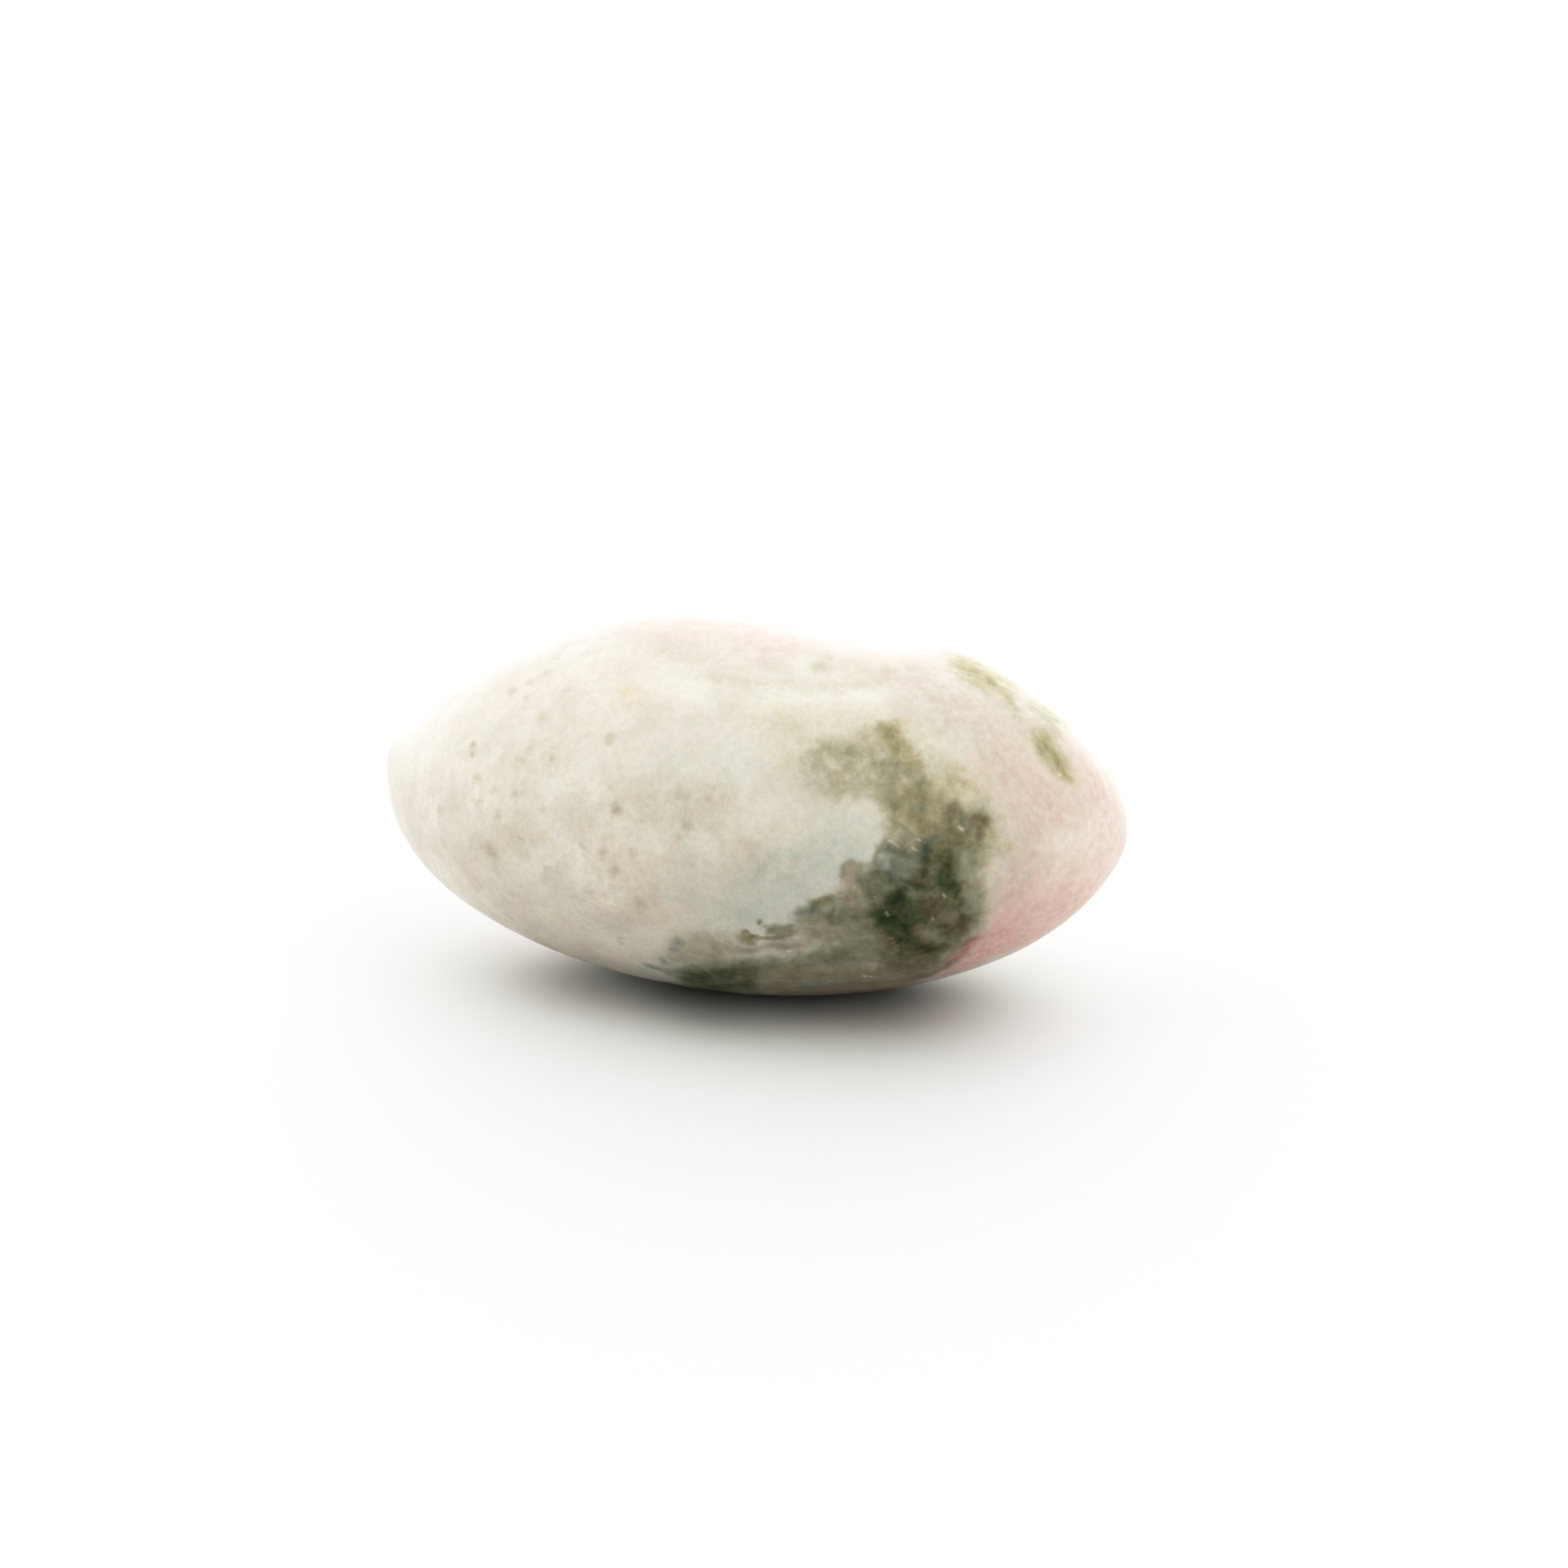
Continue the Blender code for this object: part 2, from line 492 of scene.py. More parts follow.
@dataclass(frozen=True)
class SkinTree:
    """The geometry tree that makes the whole skin: ball, worn form, tumbled waviness and pocks."""

    form: WornForm
    pocks: Pocks
    rows: int = 112
    wave_size: float = 2.6 * MM
    wave_height: float = 0.035 * MM
    grain_size: float = 0.5 * MM
    grain_height: float = 0.006 * MM

    def build(self, material: bpy.types.Material) -> bpy.types.Object:
        """Run the tree and keep its result as a plain mesh.

        Args:
            material: the finish that the skin takes.

        Returns:
            The skin's object, at the origin.
        """
        tree = bpy.data.node_groups.new("worn_skin", "GeometryNodeTree")
        inputs = self._open_inputs(tree)
        tree.interface.new_socket("Geometry", in_out="OUTPUT", socket_type="NodeSocketGeometry")
        self._fill(Graph(tree))
        carrier = bpy.data.objects.new("skin_carrier", bpy.data.meshes.new("skin_carrier"))
        bpy.context.scene.collection.objects.link(carrier)
        modifier = carrier.modifiers.new("worn_skin", "NODES")
        modifier.node_group = tree
        values = {
            Relief.ROWS: self.rows,
            Relief.POCK_SPACING: self.pocks.spacing,
            Relief.POCK_RADIUS: self.pocks.radius,
            Relief.POCK_DEPTH: self.pocks.depth,
            Relief.SEED: self.pocks.seed,
            Relief.MATERIAL: material,
        }
        for name, value in values.items():
            modifier[inputs[name]] = value
        graph = bpy.context.evaluated_depsgraph_get()
        mesh = bpy.data.meshes.new_from_object(carrier.evaluated_get(graph), depsgraph=graph)
        bpy.data.objects.remove(carrier)
        mesh.name = "tumbled_stone"
        mesh.materials.clear()
        mesh.materials.append(material)
        mesh.polygons.foreach_set("material_index", np.zeros(len(mesh.polygons), np.int32))
        skin = bpy.data.objects.new("tumbled_stone", mesh)
        bpy.context.scene.collection.objects.link(skin)
        return skin

    @staticmethod
    def _open_inputs(tree: bpy.types.NodeTree) -> dict[Relief, str]:
        """Give the tree its named inputs and return each one's identifier."""
        kinds = {
            Relief.ROWS: "NodeSocketInt",
            Relief.POCK_SPACING: "NodeSocketFloat",
            Relief.POCK_RADIUS: "NodeSocketFloat",
            Relief.POCK_DEPTH: "NodeSocketFloat",
            Relief.SEED: "NodeSocketInt",
            Relief.MATERIAL: "NodeSocketMaterial",
        }
        made = {}
        for name, kind in kinds.items():
            socket = tree.interface.new_socket(name.value, in_out="INPUT", socket_type=kind)
            made[name] = socket.identifier
        return made

    def _fill(self, graph: Graph) -> None:
        """Add the tree's nodes, from the ball to the finished skin."""
        given = graph.add("NodeGroupInput")
        take: Callable[[Relief], Wire] = lambda name: Wire(graph, given.outputs[name.value])
        ball = self._ball(graph, take(Relief.ROWS))
        worn = self._settle(graph, self._wear(graph, ball))
        pocked = self._pock(graph, self._ripple(graph, worn), take)
        smooth = graph.wire("GeometryNodeSetShadeSmooth", None, {"Geometry": pocked})
        joined = graph.wire("GeometryNodeRealizeInstances", None, {"Geometry": smooth})
        sockets = {"Geometry": joined, "Material": take(Relief.MATERIAL)}
        dressed = graph.wire("GeometryNodeSetMaterial", None, sockets)
        graph.add("NodeGroupOutput", None, {"Geometry": dressed})

    @staticmethod
    def _ball(graph: Graph, rows: Wire) -> Wire:
        """A closed cube of small squares, two units wide."""
        sockets = {"Size": (2.0, 2.0, 2.0), "Vertices X": rows, "Vertices Y": rows, "Vertices Z": rows}
        return graph.wire("GeometryNodeMeshCube", None, sockets)

    def _wear(self, graph: Graph, ball: Wire) -> Wire:
        """Swell the cube to a ball with even squares, and the ball to the worn form."""
        corner = graph.wire("GeometryNodeInputPosition")
        direction = (corner * (math.pi / 4.0)).tangent().normalized()
        sockets = {"Geometry": ball, "Position": self.form.skin_point(graph, direction)}
        return graph.wire("GeometryNodeSetPosition", None, sockets)

    def _settle(self, graph: Graph, worn: Wire) -> Wire:
        """Set the stone on z = 0 with its box's middle over the origin, and rub its rest flat."""
        box = graph.add("GeometryNodeBoundBox", None, {"Geometry": worn})
        low = Wire(graph, box.outputs["Min"])
        high = Wire(graph, box.outputs["Max"])
        middle_x, middle_y, _ = ((low + high) * 0.5).parts()
        x, y, z = graph.wire("GeometryNodeInputPosition").parts()
        raised = z - low.parts()[2] - self.form.rest_flat_depth
        rubbed = graph.wire(
            "ShaderNodeMath", {"operation": "SMOOTH_MAX"}, {0: raised, 1: 0.0, 2: self.form.rest_flat_rim}
        )
        point = graph.wire("ShaderNodeCombineXYZ", None, {0: x - middle_x, 1: y - middle_y, 2: rubbed})
        return graph.wire("GeometryNodeSetPosition", None, {"Geometry": worn, "Position": point})

    def _ripple(self, graph: Graph, worn: Wire) -> Wire:
        """Add the faint waviness and grain of a tumbled skin, fading out at the rest flat."""
        place = graph.wire("GeometryNodeInputPosition")
        waves = self._noise(graph, place, self.wave_size) * self.wave_height
        grain = self._noise(graph, place, self.grain_size) * self.grain_height
        off_ground = place.parts()[2].smooth(0.0, 1.0 * MM)
        return self._push(graph, worn, (waves + grain) * off_ground)

    @staticmethod
    def _noise(graph: Graph, place: Wire, size: float) -> Wire:
        """Cloudy noise from about -1 to 1 with lumps of that size."""
        settings = {"noise_dimensions": "3D"}
        sockets = {"Vector": place, "Scale": 1.0 / size, "Detail": 3.0, "Roughness": 0.5}
        return graph.wire("ShaderNodeTexNoise", settings, sockets) * 2.0 - 1.0

    @staticmethod
    def _push(graph: Graph, geometry: Wire, height: Wire) -> Wire:
        """Move the skin along its normal."""
        offset = graph.wire("GeometryNodeInputNormal").scaled(height)
        return graph.wire("GeometryNodeSetPosition", None, {"Geometry": geometry, "Offset": offset})

    def _pock(self, graph: Graph, skin: Wire, take: Callable[[Relief], Wire]) -> Wire:
        """Press a small pit into the skin at each of many scattered points."""
        settings = {"distribute_method": "POISSON"}
        sockets = {
            "Mesh": skin,
            "Distance Min": take(Relief.POCK_SPACING),
            "Density Max": 1.0 / (self.pocks.spacing * self.pocks.spacing),
            "Density Factor": 0.6,
            "Seed": take(Relief.SEED),
        }
        points = graph.wire("GeometryNodeDistributePointsOnFaces", settings, sockets)
        sizes = graph.wire(
            "FunctionNodeRandomValue",
            {"data_type": "FLOAT"},
            {2: self.pocks.smallest, 3: self.pocks.largest, "Seed": take(Relief.SEED)},
            1,
        )
        nearest = graph.wire("GeometryNodeSampleNearest", {"domain": "POINT"}, {"Geometry": points})
        sampled = {"Geometry": points, "Value": sizes, "Index": nearest}
        size = graph.wire("GeometryNodeSampleIndex", {"data_type": "FLOAT"}, sampled)
        near = graph.wire(
            "GeometryNodeProximity", {"target_element": "POINTS"}, {"Geometry": points}, "Distance"
        )
        pit = near.bell(take(Relief.POCK_RADIUS) * size) * size
        return self._push(graph, skin, -(pit * take(Relief.POCK_DEPTH)))


class Mark(Enum):
    """A soft cloud of colour in the pale stone. The value names the skin's attribute that holds it."""

    BLUSH = "pink_blush"
    MILK = "milk_white"
    # tan clouds, and painted shade in one line along the flute's trough
    TAN = "tan_cloud_and_trough_shade"
    STAIN = "yellow_stain"
    DUSK = "rosy_dusk"


class Hue(Enum):
    """Which way the vein's green leans. The value names the skin's attribute that holds its share."""

    MOSS = "moss_share"
    OLIVE = "olive_share"
    UMBER = "umber_share"
    SLATE = "slate_share"
    ROSE = "rose_share"
    RUST = "rust_share"


@dataclass(frozen=True)
class Stroke:
    """One soft line or spot of a mark.

    Args:
        strength: how full the mark is at the stroke's middle, up to 1.
        reach: where the mark has faded to a third, in millimetres.
        seen: its places on the seen face, as pixels of the photograph.
        hidden: its places on the hidden sides, as (turn, back) angles from the stone's middle.
    """

    strength: float
    reach: float
    seen: tuple[Place, ...] = ()
    hidden: tuple[Place, ...] = ()


@dataclass(frozen=True)
class Veil:
    """One cloud of the vein, laid over the clouds before it.

    Args:
        depth: how deep its green is, from 0.2 for a faint haze to 1 for nearly black.
        hue: which way its green leans.
        blur: width of its soft border in millimetres.
        outline: its outline on the seen face, as pixels of the photograph.
        line: in place of an outline, the line that it follows on the seen face.
        hidden: in place of these, its line on the hidden sides, as (turn, back) angles.
        reach: half width of a line in millimetres.
    """

    depth: float
    hue: Hue
    blur: float
    outline: tuple[Place, ...] = ()
    line: tuple[Place, ...] = ()
    hidden: tuple[Place, ...] = ()
    reach: float = 0.0


HAZE_VEILS = (
    Veil(0.28, Hue.SLATE, 1.7, outline=(
        (1090, 1030), (1040, 1062), (1000, 1100), (950, 1130), (900, 1145), (830, 1150), (800, 1185),
        (830, 1212), (930, 1235), (1100, 1232), (1180, 1190), (1215, 1140), (1205, 1080), (1190, 1030))),
    Veil(0.27, Hue.SLATE, 2.4, outline=((930, 1030), (1000, 1012), (1075, 1020), (1085, 1100), (1000, 1130),
                                        (930, 1150), (870, 1150), (880, 1090))),
    Veil(0.24, Hue.OLIVE, 2.6, outline=(
        (890, 862), (950, 848), (1040, 852), (1120, 862), (1160, 890), (1200, 930), (1240, 975),
        (1262, 1030), (1240, 1075), (1200, 1060), (1130, 1050), (1075, 1000), (1010, 1000), (950, 965),
        (915, 915))),
    Veil(0.38, Hue.MOSS, 1.7, outline=(
        (985, 915), (1040, 908), (1085, 893), (1120, 896), (1150, 932), (1185, 952), (1210, 975),
        (1234, 1000), (1246, 1030), (1232, 1056), (1185, 1052), (1120, 1045), (1092, 1010), (1068, 985),
        (1020, 982), (988, 955))),
    Veil(0.40, Hue.MOSS, 1.3, outline=((1000, 928), (1040, 917), (1068, 926), (1062, 958), (1035, 974),
                                        (1005, 962))),
    Veil(0.46, Hue.MOSS, 0.8, line=((1051, 925), (1052, 938)), reach=0.25),
    Veil(0.42, Hue.UMBER, 0.7, line=((1031, 948), (1036, 958)), reach=0.2),
    Veil(0.46, Hue.MOSS, 1.3, outline=((1078, 920), (1112, 926), (1138, 950), (1144, 972), (1125, 995),
                                       (1096, 988), (1076, 960))),
    Veil(0.48, Hue.MOSS, 0.8, line=((1084, 942), (1096, 956)), reach=0.25),
    Veil(0.50, Hue.MOSS, 1.4, outline=(
        (1098, 985), (1150, 975), (1195, 1000), (1218, 1040), (1220, 1100), (1216, 1150), (1150, 1130),
        (1120, 1060), (1100, 1045), (1092, 1010))),
    Veil(0.54, Hue.OLIVE, 1.2, outline=((1106, 970), (1140, 965), (1168, 980), (1188, 1000),
                                        (1180, 1032), (1135, 1032), (1108, 1010))),
    Veil(0.54, Hue.UMBER, 0.6, line=((1116, 976), (1120, 984)), reach=0.15),
    Veil(0.60, Hue.SLATE, 0.8, line=((1132, 1000), (1150, 1003)), reach=0.2),
    Veil(0.50, Hue.OLIVE, 0.8, line=((1130, 1014), (1160, 1018)), reach=0.3),
    Veil(0.40, Hue.OLIVE, 1.0, line=((1156, 968), (1198, 974)), reach=0.4),
    Veil(0.36, Hue.OLIVE, 0.8, line=((1183, 945), (1186, 954)), reach=0.3),
    Veil(0.55, Hue.OLIVE, 0.7, outline=((1085, 890), (1104, 890), (1114, 906), (1124, 924), (1136, 944),
                                        (1120, 948), (1104, 933), (1093, 919), (1084, 905))),
    Veil(0.55, Hue.OLIVE, 0.4, line=((1096, 904), (1102, 916), (1108, 922)), reach=0.12),
    Veil(0.54, Hue.OLIVE, 0.4, line=((1112, 935), (1119, 944)), reach=0.10),
    Veil(0.62, Hue.UMBER, 0.7, outline=((1168, 995), (1181, 988), (1192, 1003), (1195, 1020), (1180, 1018),
                                        (1170, 1007))),
    Veil(0.74, Hue.MOSS, 0.4, line=((1185, 1006), (1188, 1015)), reach=0.12),
    Veil(0.64, Hue.OLIVE, 0.9, outline=((1120, 1008), (1198, 1018), (1204, 1040), (1174, 1045),
                                        (1154, 1032))),
    Veil(0.70, Hue.OLIVE, 0.6, outline=((1195, 1005), (1207, 1001), (1216, 1006), (1218, 1018),
                                        (1225, 1030), (1217, 1040), (1202, 1033), (1192, 1020))),
    Veil(0.74, Hue.UMBER, 0.4, line=((1201, 1018), (1207, 1028)), reach=0.14),
    Veil(0.38, Hue.UMBER, 0.9, line=((1220, 1032), (1240, 1042)), reach=0.22),
    Veil(0.30, Hue.OLIVE, 0.6, line=((1221, 1060), (1226, 1066)), reach=0.12),
    Veil(0.30, Hue.ROSE, 0.6, line=((1008, 820), (1012, 824)), reach=0.15),
)
PATCH_VEILS = (
    Veil(0.60, Hue.RUST, 1.2, line=((1197, 1158), (1184, 1176), (1160, 1194), (1120, 1207)), reach=0.40),
    Veil(0.50, Hue.RUST, 0.9, line=((1128, 1212), (1060, 1220), (990, 1226)), reach=0.25),
    Veil(0.62, Hue.MOSS, 0.8, outline=(
        (1092, 1036), (1108, 1044), (1122, 1048), (1132, 1034), (1150, 1027), (1174, 1030), (1182, 1050),
        (1182, 1070), (1185, 1092), (1192, 1112), (1199, 1132), (1195, 1150), (1180, 1168), (1158, 1184),
        (1148, 1188), (1125, 1192), (1095, 1188), (1070, 1170), (1062, 1140), (1068, 1110), (1062, 1085),
        (1072, 1062), (1080, 1045))),
    Veil(0.64, Hue.SLATE, 0.7, outline=((1080, 1045), (1108, 1046), (1125, 1055), (1120, 1075),
                                        (1095, 1082), (1078, 1065))),
    Veil(0.40, Hue.SLATE, 0.4, line=((1084, 1056), (1091, 1065)), reach=0.14),
    Veil(0.82, Hue.SLATE, 0.7, line=((1096, 1084), (1116, 1090)), reach=0.28),
    Veil(0.84, Hue.SLATE, 0.65, outline=((1134, 1036), (1150, 1032), (1153, 1046), (1146, 1062),
                                         (1133, 1060), (1128, 1048))),
    Veil(0.80, Hue.OLIVE, 0.65, outline=((1152, 1036), (1171, 1038), (1177, 1056), (1178, 1076),
                                         (1165, 1082), (1155, 1066), (1150, 1050))),
    Veil(0.79, Hue.UMBER, 0.6, outline=((1131, 1070), (1146, 1067), (1151, 1085), (1141, 1095),
                                         (1130, 1087))),
    Veil(0.95, Hue.MOSS, 0.6, outline=((1150, 1079), (1164, 1074), (1176, 1088), (1178, 1100),
                                       (1165, 1098), (1152, 1090))),
    Veil(0.79, Hue.UMBER, 0.7, outline=((1134, 1096), (1150, 1093), (1164, 1100), (1170, 1116),
                                        (1160, 1131), (1142, 1135), (1130, 1118))),
    Veil(0.66, Hue.SLATE, 0.3, line=((1142, 1099), (1151, 1105)), reach=0.12),
    Veil(0.90, Hue.MOSS, 0.5, line=((1132, 1090), (1144, 1093)), reach=0.12),
    Veil(0.82, Hue.OLIVE, 0.6, outline=((1164, 1100), (1178, 1096), (1184, 1112), (1181, 1126),
                                         (1173, 1120))),
    Veil(0.80, Hue.UMBER, 0.9, outline=((1156, 1133), (1185, 1126), (1196, 1134), (1192, 1150),
                                        (1176, 1161), (1158, 1153))),
    Veil(0.80, Hue.MOSS, 0.7, outline=((1118, 1104), (1132, 1108), (1137, 1140), (1142, 1165),
                                       (1125, 1168), (1120, 1140))),
    Veil(0.98, Hue.MOSS, 0.6, outline=((1086, 1102), (1105, 1097), (1119, 1106), (1121, 1120),
                                      (1105, 1128), (1090, 1120))),
    Veil(0.93, Hue.MOSS, 0.6, outline=((1072, 1124), (1090, 1118), (1112, 1124), (1123, 1142),
                                       (1121, 1160), (1110, 1171), (1098, 1158), (1084, 1143))),
    Veil(0.60, Hue.UMBER, 0.4, line=((1134, 1144), (1140, 1156)), reach=0.22),
    Veil(0.84, Hue.OLIVE, 0.7, outline=((1114, 1165), (1145, 1158), (1166, 1164), (1152, 1182),
                                        (1128, 1186), (1112, 1178))),
    Veil(0.78, Hue.UMBER, 0.9, outline=((1090, 1180), (1150, 1180), (1162, 1186), (1140, 1202),
                                        (1108, 1200))),
    Veil(0.70, Hue.UMBER, 0.4, outline=((1079, 1152), (1090, 1152), (1101, 1160), (1104, 1172),
                                       (1092, 1177), (1080, 1168))),
    # painted highlight: a thin lighter line on the lobe's edge
    Veil(0.56, Hue.ROSE, 0.2, line=((1097, 1157), (1104, 1167)), reach=0.06),
)
BAND_VEILS = (
    Veil(0.50, Hue.MOSS, 1.1, outline=(
        (1060, 1080), (1070, 1105), (1070, 1140), (1082, 1165), (1112, 1192), (1080, 1202), (1000, 1202),
        (950, 1206), (925, 1202), (930, 1186), (965, 1173), (1000, 1169), (1006, 1160), (980, 1152),
        (985, 1133), (1010, 1117), (1030, 1104), (1040, 1085), (1048, 1072))),
    Veil(0.46, Hue.ROSE, 0.6, outline=((1038, 1070), (1050, 1063), (1062, 1071), (1064, 1086),
                                       (1050, 1094), (1038, 1088))),
    Veil(0.50, Hue.MOSS, 0.4, line=((1037, 1080), (1040, 1069), (1050, 1062), (1060, 1067)), reach=0.12),
    Veil(0.64, Hue.SLATE, 0.5, line=((1064, 1087), (1072, 1101)), reach=0.22),
    Veil(0.36, Hue.SLATE, 0.2, line=((1076, 1076), (1080, 1086), (1085, 1093)), reach=0.10),
    Veil(0.60, Hue.OLIVE, 0.5, line=((1004, 1115), (1022, 1108)), reach=0.2),
    Veil(0.64, Hue.MOSS, 0.6, line=((1030, 1132), (1050, 1126), (1072, 1136)), reach=0.35),
    Veil(0.62, Hue.SLATE, 0.5, line=((985, 1124), (1000, 1122)), reach=0.2),
    Veil(0.50, Hue.ROSE, 0.5, line=((1044, 1108), (1048, 1113)), reach=0.2),
    Veil(0.56, Hue.ROSE, 0.5, line=((1066, 1148), (1072, 1152)), reach=0.25),
    Veil(0.34, Hue.SLATE, 0.25, line=((1031, 1160), (1033, 1164)), reach=0.10),
    Veil(0.26, Hue.SLATE, 0.3, line=((1001, 1164), (1004, 1170)), reach=0.12),
    Veil(0.42, Hue.ROSE, 0.6, line=((990, 1140), (1010, 1146)), reach=0.25),
    Veil(0.43, Hue.ROSE, 0.5, line=((905, 1171), (940, 1168), (975, 1164), (1000, 1162)), reach=0.2),
    Veil(0.54, Hue.MOSS, 0.4, outline=((945, 1140), (955, 1136), (974, 1140), (980, 1150), (962, 1156),
                                       (948, 1150))),
    Veil(0.54, Hue.MOSS, 0.2, line=((935, 1131), (938, 1136)), reach=0.08),
    Veil(0.50, Hue.MOSS, 0.18, line=((938, 1137), (947, 1143)), reach=0.06),
    Veil(0.54, Hue.OLIVE, 0.35, outline=((906, 1152), (918, 1148), (930, 1152), (938, 1157), (925, 1162),
                                         (911, 1161))),
    Veil(0.50, Hue.MOSS, 0.2, line=((935, 1158), (955, 1157), (972, 1152)), reach=0.12),
    Veil(0.00, Hue.MOSS, 0.15, outline=((916, 1143), (928, 1140), (942, 1148), (941, 1153), (928, 1151))),
    Veil(0.54, Hue.UMBER, 1.2, outline=((945, 1202), (1000, 1196), (1080, 1196), (1120, 1197),
                                        (1140, 1206), (1100, 1226), (1000, 1234), (930, 1230))),
    Veil(0.60, Hue.MOSS, 0.9, line=((1000, 1186), (1040, 1181)), reach=0.35),
    Veil(0.58, Hue.SLATE, 0.9, line=((985, 1212), (1040, 1210)), reach=0.3),
    Veil(0.38, Hue.MOSS, 1.3, outline=((830, 1150), (870, 1146), (905, 1160), (912, 1185), (880, 1196),
                                       (840, 1196), (820, 1180))),
    Veil(0.50, Hue.SLATE, 0.5, line=((814, 1180), (818, 1186)), reach=0.15),
    Veil(0.48, Hue.SLATE, 0.5, line=((836, 1160), (832, 1170)), reach=0.2),
    Veil(0.78, Hue.MOSS, 0.9, outline=((826, 1200), (860, 1194), (895, 1190), (925, 1184), (938, 1198),
                                       (930, 1222), (880, 1226), (840, 1214))),
    Veil(0.72, Hue.OLIVE, 0.4, outline=((910, 1199), (924, 1193), (931, 1205), (920, 1213), (908, 1209))),
    Veil(0.66, Hue.MOSS, 0.2, line=((911, 1190), (918, 1186)), reach=0.07),
    Veil(0.60, Hue.MOSS, 0.2, line=((961, 1176), (967, 1174)), reach=0.07),
    Veil(0.46, Hue.SLATE, 0.7, line=((800, 1190), (830, 1199)), reach=0.3),
)
FAR_VEILS = (
    Veil(0.31, Hue.ROSE, 2.0, outline=((1150, 795), (1210, 800), (1275, 838), (1320, 890), (1340, 950),
                                       (1325, 985), (1285, 960), (1240, 900), (1190, 860), (1150, 830))),
    Veil(0.46, Hue.OLIVE, 1.2, outline=((1165, 796), (1200, 802), (1232, 818), (1268, 838), (1262, 854),
                                        (1225, 856), (1202, 846), (1182, 832), (1168, 814))),
    Veil(0.52, Hue.OLIVE, 0.9, line=((1205, 828), (1228, 848), (1240, 858)), reach=0.2),
    Veil(0.40, Hue.ROSE, 0.6, line=((1250, 837), (1255, 840)), reach=0.15),
    Veil(0.46, Hue.MOSS, 0.7, line=((1244, 866), (1252, 880)), reach=0.18),
    Veil(0.43, Hue.MOSS, 1.3, outline=((1258, 858), (1284, 858), (1308, 878), (1325, 898), (1300, 904),
                                       (1274, 886))),
    Veil(0.52, Hue.OLIVE, 0.5, line=((1280, 865), (1293, 878), (1304, 887)), reach=0.18),
    Veil(0.46, Hue.MOSS, 0.5, line=((1302, 886), (1318, 893), (1328, 897)), reach=0.12),
    Veil(0.45, Hue.OLIVE, 1.1, outline=((1270, 904), (1292, 904), (1316, 938), (1326, 968), (1306, 964),
                                        (1280, 934))),
    Veil(0.52, Hue.OLIVE, 0.4, line=((1290, 920), (1297, 929), (1306, 943), (1314, 956), (1319, 962)),
         reach=0.16),
    Veil(0.46, Hue.UMBER, 0.6, line=((1279, 918), (1284, 925)), reach=0.18),
    Veil(0.38, Hue.OLIVE, 0.5, line=((1258, 1055), (1263, 1058)), reach=0.14),
    Veil(0.30, Hue.UMBER, 0.6, line=((1262, 1085), (1268, 1083)), reach=0.15),
    Veil(0.30, Hue.UMBER, 0.4, line=((1356, 1040), (1358, 1043)), reach=0.10),
)
UNSEEN_VEILS = (
    Veil(0.42, Hue.MOSS, 2.2, hidden=((284, 24), (276, 42), (258, 58), (230, 68)), reach=2.4),
    Veil(0.66, Hue.UMBER, 1.6, hidden=((250, -20), (265, -14), (285, -16)), reach=1.6),
    Veil(0.85, Hue.MOSS, 1.4, hidden=((262, -18), (270, -10), (280, -10)), reach=1.2),
    Veil(0.62, Hue.MOSS, 1.4, hidden=((270, -8), (282, 12), (284, 24), (276, 42), (260, 58)), reach=2.2),
    Veil(0.80, Hue.MOSS, 0.8, hidden=((276, 0), (284, 20), (276, 40), (264, 54)), reach=1.1),
    Veil(0.98, Hue.MOSS, 0.6, hidden=((281, 28), (270, 46)), reach=0.6),
    Veil(0.60, Hue.SLATE, 0.8, hidden=((268, 30), (262, 44)), reach=0.6),
    Veil(0.70, Hue.UMBER, 0.8, hidden=((290, 26), (284, 44)), reach=0.6),
    Veil(0.40, Hue.MOSS, 1.6, hidden=((258, 58), (225, 70), (190, 72)), reach=1.6),
    Veil(0.70, Hue.OLIVE, 0.8, hidden=((258, 58), (225, 70), (200, 71)), reach=0.5),
    Veil(0.90, Hue.MOSS, 0.5, hidden=((232, 68), (215, 71)), reach=0.35),
    Veil(0.30, Hue.OLIVE, 1.6, hidden=((38, 30), (30, 45), (20, 60), (330, 68)), reach=1.2),
    Veil(0.58, Hue.MOSS, 0.8, hidden=((36, 34), (30, 45), (20, 60)), reach=0.3),
    Veil(0.48, Hue.OLIVE, 0.3, hidden=((42, 18), (36, 34), (24, 54)), reach=0.2),
    Veil(0.42, Hue.OLIVE, 2.6, hidden=((140, 26), (160, 52), (185, 66), (215, 71)), reach=1.5),
    Veil(0.60, Hue.OLIVE, 1.4, hidden=((144, 38), (160, 48), (166, 60), (192, 68)), reach=0.5),
    Veil(0.78, Hue.UMBER, 0.9, hidden=((155, 46), (162, 55)), reach=0.25),
)
VEILS = UNSEEN_VEILS + HAZE_VEILS + BAND_VEILS + PATCH_VEILS + FAR_VEILS
